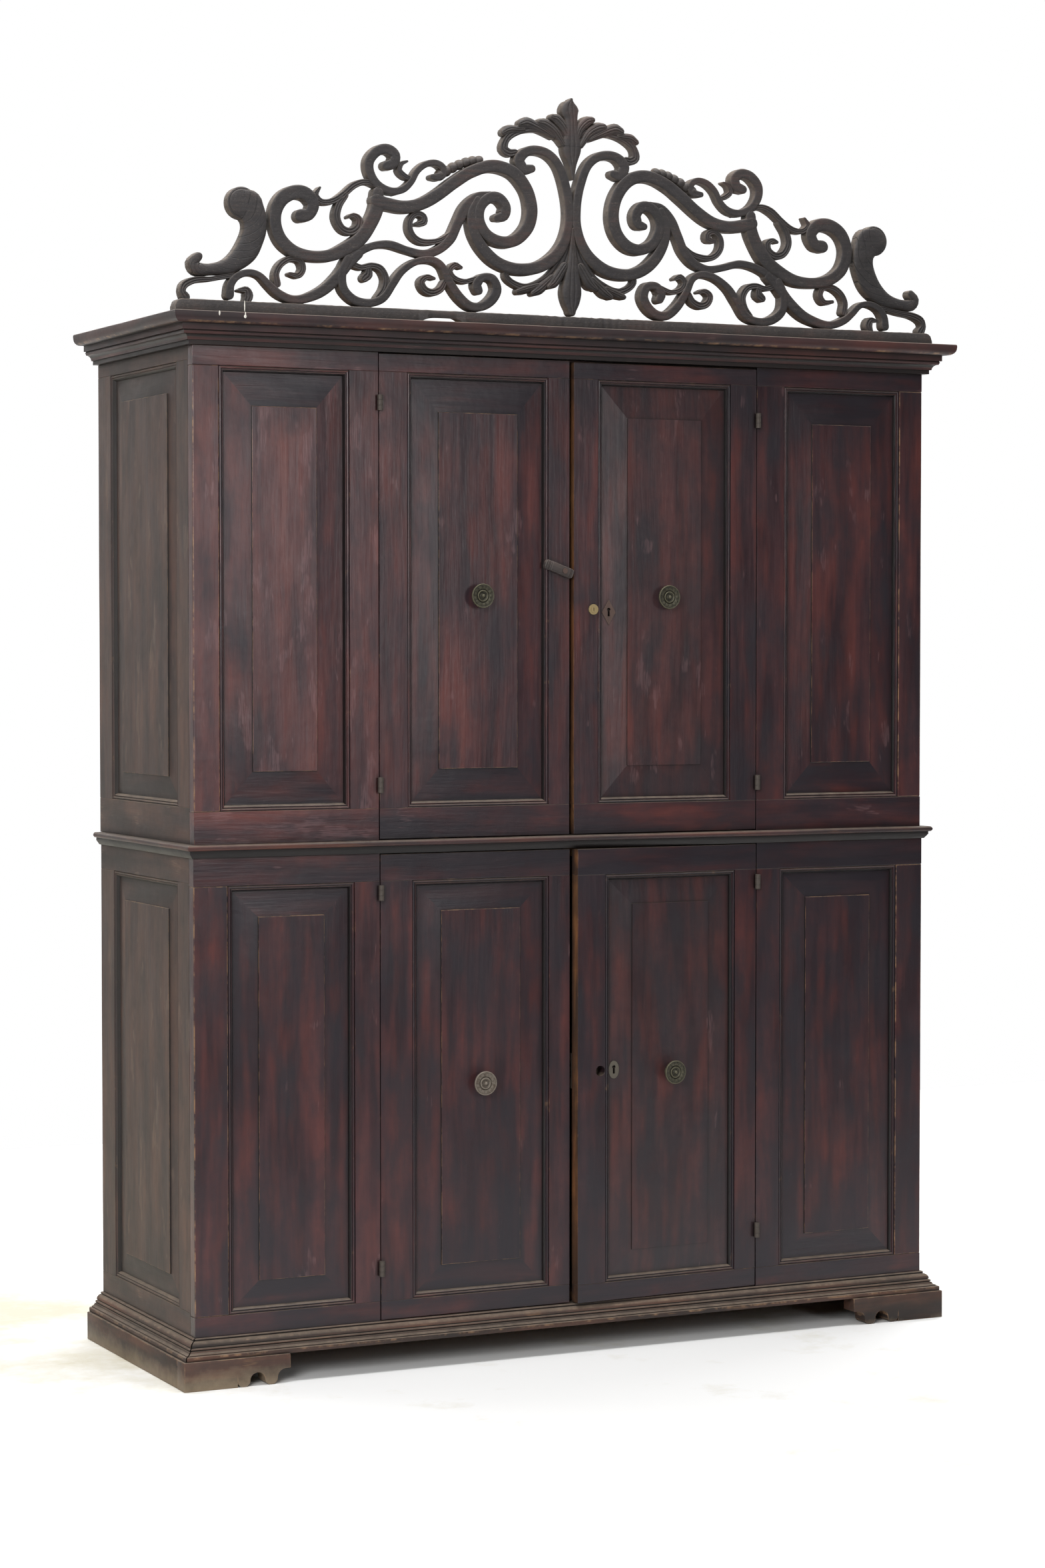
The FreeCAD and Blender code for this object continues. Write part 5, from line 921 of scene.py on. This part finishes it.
# end discs: slightly domed, with one fine ring cut near the rim
radius, disc_x, disc_z, dome = 0.0340, 0.7775, 0.2062, 0.0048
ring_deep, ring_place, ring_wide = 0.0012, 0.86, 0.025
for side in (-1, 1):
    part = blank()
    ends = [(0.0, CREST_FRONT)]
    for share in (x / 40 for x in range(1, 40)):
        ring_cut = ring_deep * math.exp(-((share - ring_place) / ring_wide) ** 2)
        ends.append((radius * share, CREST_FRONT + dome * share ** 4 + ring_cut))
    ends += [(radius, CREST_FRONT + 0.0075), (radius, CREST_BACK), (0.0, CREST_BACK)]
    turned_mesh(part, ends, 72)
    bmesh.ops.translate(part, vec=(side * disc_x, 0, CREST_FOOT + disc_z), verts=part.verts)
    join_in(bm, part)
# a chain of overlapping beads along the top of the long scroll, which rises towards the middle
beads, chain_foot, chain_rise, chain_bow, bead_tilt = 7, 0.2925, 0.037, 1.45, 0.5
for side, start, end in ((-1, 0.318, 0.226), (1, 0.302, 0.212)):
    for share in (number / (beads - 1) for number in range(beads)):
        middle = (side * (start + (end - start) * share), (CREST_FRONT + CREST_BACK) / 2,
                  CREST_FOOT + chain_foot + chain_rise * math.sin(share * chain_bow))
        part = blank()
        bmesh.ops.create_uvsphere(part, u_segments=18, v_segments=12, radius=1, matrix=Matrix.Translation(
            middle) @ Matrix.Rotation(side * bead_tilt, 4, "Y")
            @ Matrix.Diagonal((0.0126, 0.0128, 0.0124 - 0.0028 * share, 1)))
        join_in(bm, part)
unsteady(bm, 0.0006, 0.035)
TIP = 2.7658
for vert in bm.verts:
    vert.co.z = min(vert.co.z, TIP)
finish("carved_scrollwork", bm, [crest_wood], "case", "crest_wood", ["crest_scrollwork"], sharp=42)

# Knobs: cast brass discs on a neck, gone olive-brown. A thin rim and a ring of petals stand up round an inner
# dish with a nipple.


def patinated(name, dark, lighter, ridge_tone, metallic, roughness):
    """Old blotched metal, with its own colour where it is rubbed and tarnish in the hollows."""
    material, tree, shader, spot = new_material(name, Metallic=metallic)
    blotch = add(tree, "TexNoise", {"Vector": spot, "Scale": 1000 / 6, "Detail": 4.0, "Roughness": 0.6})
    tone = add(tree, "ValToRGB", {0: blotch}, [(0.35, dark), (0.65, lighter)])
    ridge = add(tree, "NewGeometry").outputs["Pointiness"]
    tone = covered(tree, tone, ((ridge_tone, ridge, 0.51, 0.58, 0.75), ("#1b1a12", ridge, 0.49, 0.43, 0.7)))
    rough = add(tree, "MapRange", {0: blotch, 1: 0.3, 2: 0.7, 3: roughness - 0.1, 4: roughness + 0.15})
    pits = add(tree, "Bump", {"Height": blotch, "Strength": 0.5, "Distance": 0.0005})
    plug(shader, {"Base Color": tone, "Roughness": rough, "Normal": pits})
    return material


old_bronze = patinated("tarnished_cast_brass", "#2b2920", "#454236", "#757058", 0.5, 0.52)
pale_bronze = patinated("dusty_cast_brass", "#4b3f34", "#6b635a", "#958c7f", 0.3, 0.6)
# radius and distance from the back, in mm
KNOB = ((0, 0), (13.8, 0), (14.3, 1.2), (13.4, 2.8), (10, 5), (8.3, 8), (8, 11), (9.5, 14.5), (14, 17.5),
        (20, 19.2), (25, 20.6), (26.3, 22), (26.5, 23.6), (26.3, 25.2), (25.7, 26.2), (24.9, 26.5),
        (24.1, 26.1), (23.4, 25.6), (22, 25.5), (20, 25.3), (18, 25.0), (16, 24.6), (15, 24.0),
        (14.2, 22.8), (13.4, 22.8), (12.8, 24.0), (12.1, 25.3), (11.2, 25.6), (10.2, 25.0), (9, 23.8),
        (7.6, 23.2), (6, 23.2), (4.9, 24.0), (4.2, 26.4), (3.2, 28.4), (1.8, 29.4), (0, 29.7))
KNOB_DEPTH, UPPER_KNOB, LOWER_KNOB = 0.0025, 1.6725, 0.6105
petals_from, petals_to, petal_turns = 0.0148, 0.0236, 6.5
for name, x, y, z, material in (
        ("upper_left_door", -0.472 + (0.066 + 0.456 - 0.051) / 2, UPPER_FRONT, UPPER_KNOB, old_bronze),
        ("upper_right_door", -0.005 + (0.060 + 0.462 - 0.066) / 2, UPPER_FRONT, UPPER_KNOB, old_bronze),
        ("lower_left_door", -0.472 + (0.075 + 0.456 - 0.051) / 2, FRONT, LOWER_KNOB, pale_bronze),
        ("lower_right_door", -0.005 + (0.070 + 0.462 - 0.055) / 2, FRONT, LOWER_KNOB, old_bronze)):
    bm = blank()
    turned_mesh(bm, [(radius / 1000, -out / 1000) for radius, out in KNOB], 144)
    for vert in bm.verts:
        away, turn = math.hypot(vert.co.x, vert.co.z), math.atan2(vert.co.z, vert.co.x)
        if vert.co.y < -0.021 and petals_from < away < petals_to:
            swell = math.sin(math.pi * (away - petals_from) / (petals_to - petals_from))
            vert.co.y -= swell * (0.0014 * abs(math.cos(petal_turns * turn)) ** 0.7 - 0.0006)
        vert.co += noise.noise_vector(vert.co * 220) * 0.00018
    place = (AJAR if name == "lower_right_door" else Matrix()) @ Matrix.Translation((x, y + KNOB_DEPTH, z))
    finish(f"{name}_cast_knob", bm, [material], name, "bronze", [f"{name}_knob"], place, sharp=50)

# Turn button: a strip of grey hardwood with rounded ends and grooves filed across it, held by one
# round-headed slotted screw. It is turned by hand over the meeting edge of the doors.
grey_wood = stained_wood("bare_grey_hardwood", [(0.38, "#332d2b"), (0.5, "#483f3c"), (0.62, "#5a504b")],
                         "#57483f", "#877c72", "#2a2523", roughness=0.5)
button_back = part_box("turn_button")[1][1]
bm = blank()
stations = []
arm_left, arm_right, half_width, button_thick, button_steps = 0.049, 0.023, 0.0105, 0.012, 72
GROOVES, groove_half, groove_deep = (-0.0440, -0.0405, -0.0370, -0.0335, 0.0155, 0.0190), 0.0010, 0.0022
button_place, button_turn = (-0.033, button_back, 1.7285), math.radians(20)
for step in range(button_steps + 1):
    x = -arm_left + (arm_left + arm_right) * step / button_steps
    near_end = min(x + arm_left, arm_right - x) / 0.006
    wide = half_width * (0.5 + 0.5 * math.sqrt(max(0.0, 1 - max(0.0, 1 - near_end) ** 2)))
    cut = sum(math.exp(-((x - g) / groove_half) ** 2) for g in GROOVES) * groove_deep
    face = -button_thick + 0.0006 + cut + 0.0012 * max(0.0, 1 - near_end * 2) + 0.0010 * (x / arm_left) ** 2
    half = ((0, -1), (face + 0.0030, -1), (face + 0.0012, -0.95), (face + 0.0003, -0.8), (face, -0.45))
    whole = (*half, (face - 0.0002, 0), *((y, -share) for y, share in reversed(half)))
    stations.append([Vector((x, y, wide * share)) for y, share in whole])
drawn(bm, stations, seed=4, wear_and_shade=0.4)
unsteady(bm, 0.0004, 0.02)
tilt = Matrix.Translation(button_place) @ Matrix.Rotation(button_turn, 4, "Y")
finish("wooden_turn_button", bm, [grey_wood], "turn_button", "grey_wood", ["turn_button"], tilt, sharp=45)

# Locks, hinges and slide bolt: forged and rolled iron, rusted brown, the hinge knuckles painted over with the
# case. The cylinder in the upper right door is brass.
iron = patinated("rusted_iron", "#2a2624", "#453a33", "#6d6258", 0.55, 0.6)
hinge_iron = patinated("painted_over_iron", "#241f1d", "#332c29", "#4d453e", 0.2, 0.6)
brass = patinated("dull_yellow_brass", "#65563c", "#81704d", "#a8956c", 0.6, 0.5)
plate_iron = patinated("darkened_iron_plate", "#252122", "#382c2a", "#5e4a42", 0.3, 0.6)
grey_plate = patinated("dull_grey_plate", "#2c2926", "#443f39", "#625c51", 0.4, 0.55)
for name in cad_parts:
    if "hinge_leaves" in name:
        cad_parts[name].data.materials[0] = hinge_iron
for name, material in (("upper_lock_case", iron), ("lower_lock_case", iron), ("upper_lock_bolt", iron),
                       ("lower_lock_bolt", iron), ("slide_bolt", iron), ("slide_bolt_guides", iron),
                       ("turn_button_screw", plate_iron), ("upper_escutcheon", plate_iron),
                       ("lower_escutcheon", grey_plate), ("lock_cylinder", brass), ("cylinder_plug", brass)):
    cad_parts[name].data.materials[0] = material

# Panels with lock holes: the same boards as the others, bored for the cylinder and cut for the key.
for name in ("upper_right_door_panel", "lower_right_door_panel"):
    bored_wood = stained_wood(f"stained_walnut_{name}", FRONT_TONES, dust=0.7, turned=(0, 0, 0),
                              limits=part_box(name), bias=0.03 if "upper" in name else 0.08, film=0.035,
                              **FRONT_STAIN)
    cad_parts[name].data.materials[0] = bored_wood

# Inside: top and bottom boards, shelves on cleats, and upright back planks, left bare and gone brown.
inner_wood = stained_wood("bare_inner_boards", [(0.38, "#4a3626"), (0.5, "#5f4630"), (0.66, "#73583c")],
                          "#6e4a2e", "#8a7050", "#382a1e", roughness=0.66, turned=(0, math.pi / 2, 0))
back_wood = stained_wood("bare_back_planks", [(0.38, "#443629"), (0.5, "#5a4836"), (0.66, "#6d5a44")],
                         "#64492f", "#80694e", "#352b21", film=0.1, roughness=0.68)
for name in ("lower_bottom_board", "lower_top_board", "lower_shelves", "shelf_cleats", "upper_bottom_board",
             "upper_shelves", "upper_top_board"):
    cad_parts[name].data.materials[0] = inner_wood
plank_gap, plank_count = 0.002, 8
for level in ("lower", "upper"):
    bm = blank()
    low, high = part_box(f"{level}_back_boards")
    pitch = (high[0] - low[0] + plank_gap) / plank_count
    for number in range(plank_count):
        start = low[0] + pitch * number
        board_mesh(bm, (start, low[1], low[2]), (start + pitch - plank_gap, high[1], high[2]), 2,
                   5 * number + len(level))
    finish(f"{level}_back_planks", bm, [back_wood], "case", "inner_wood", [f"{level}_back_boards"])
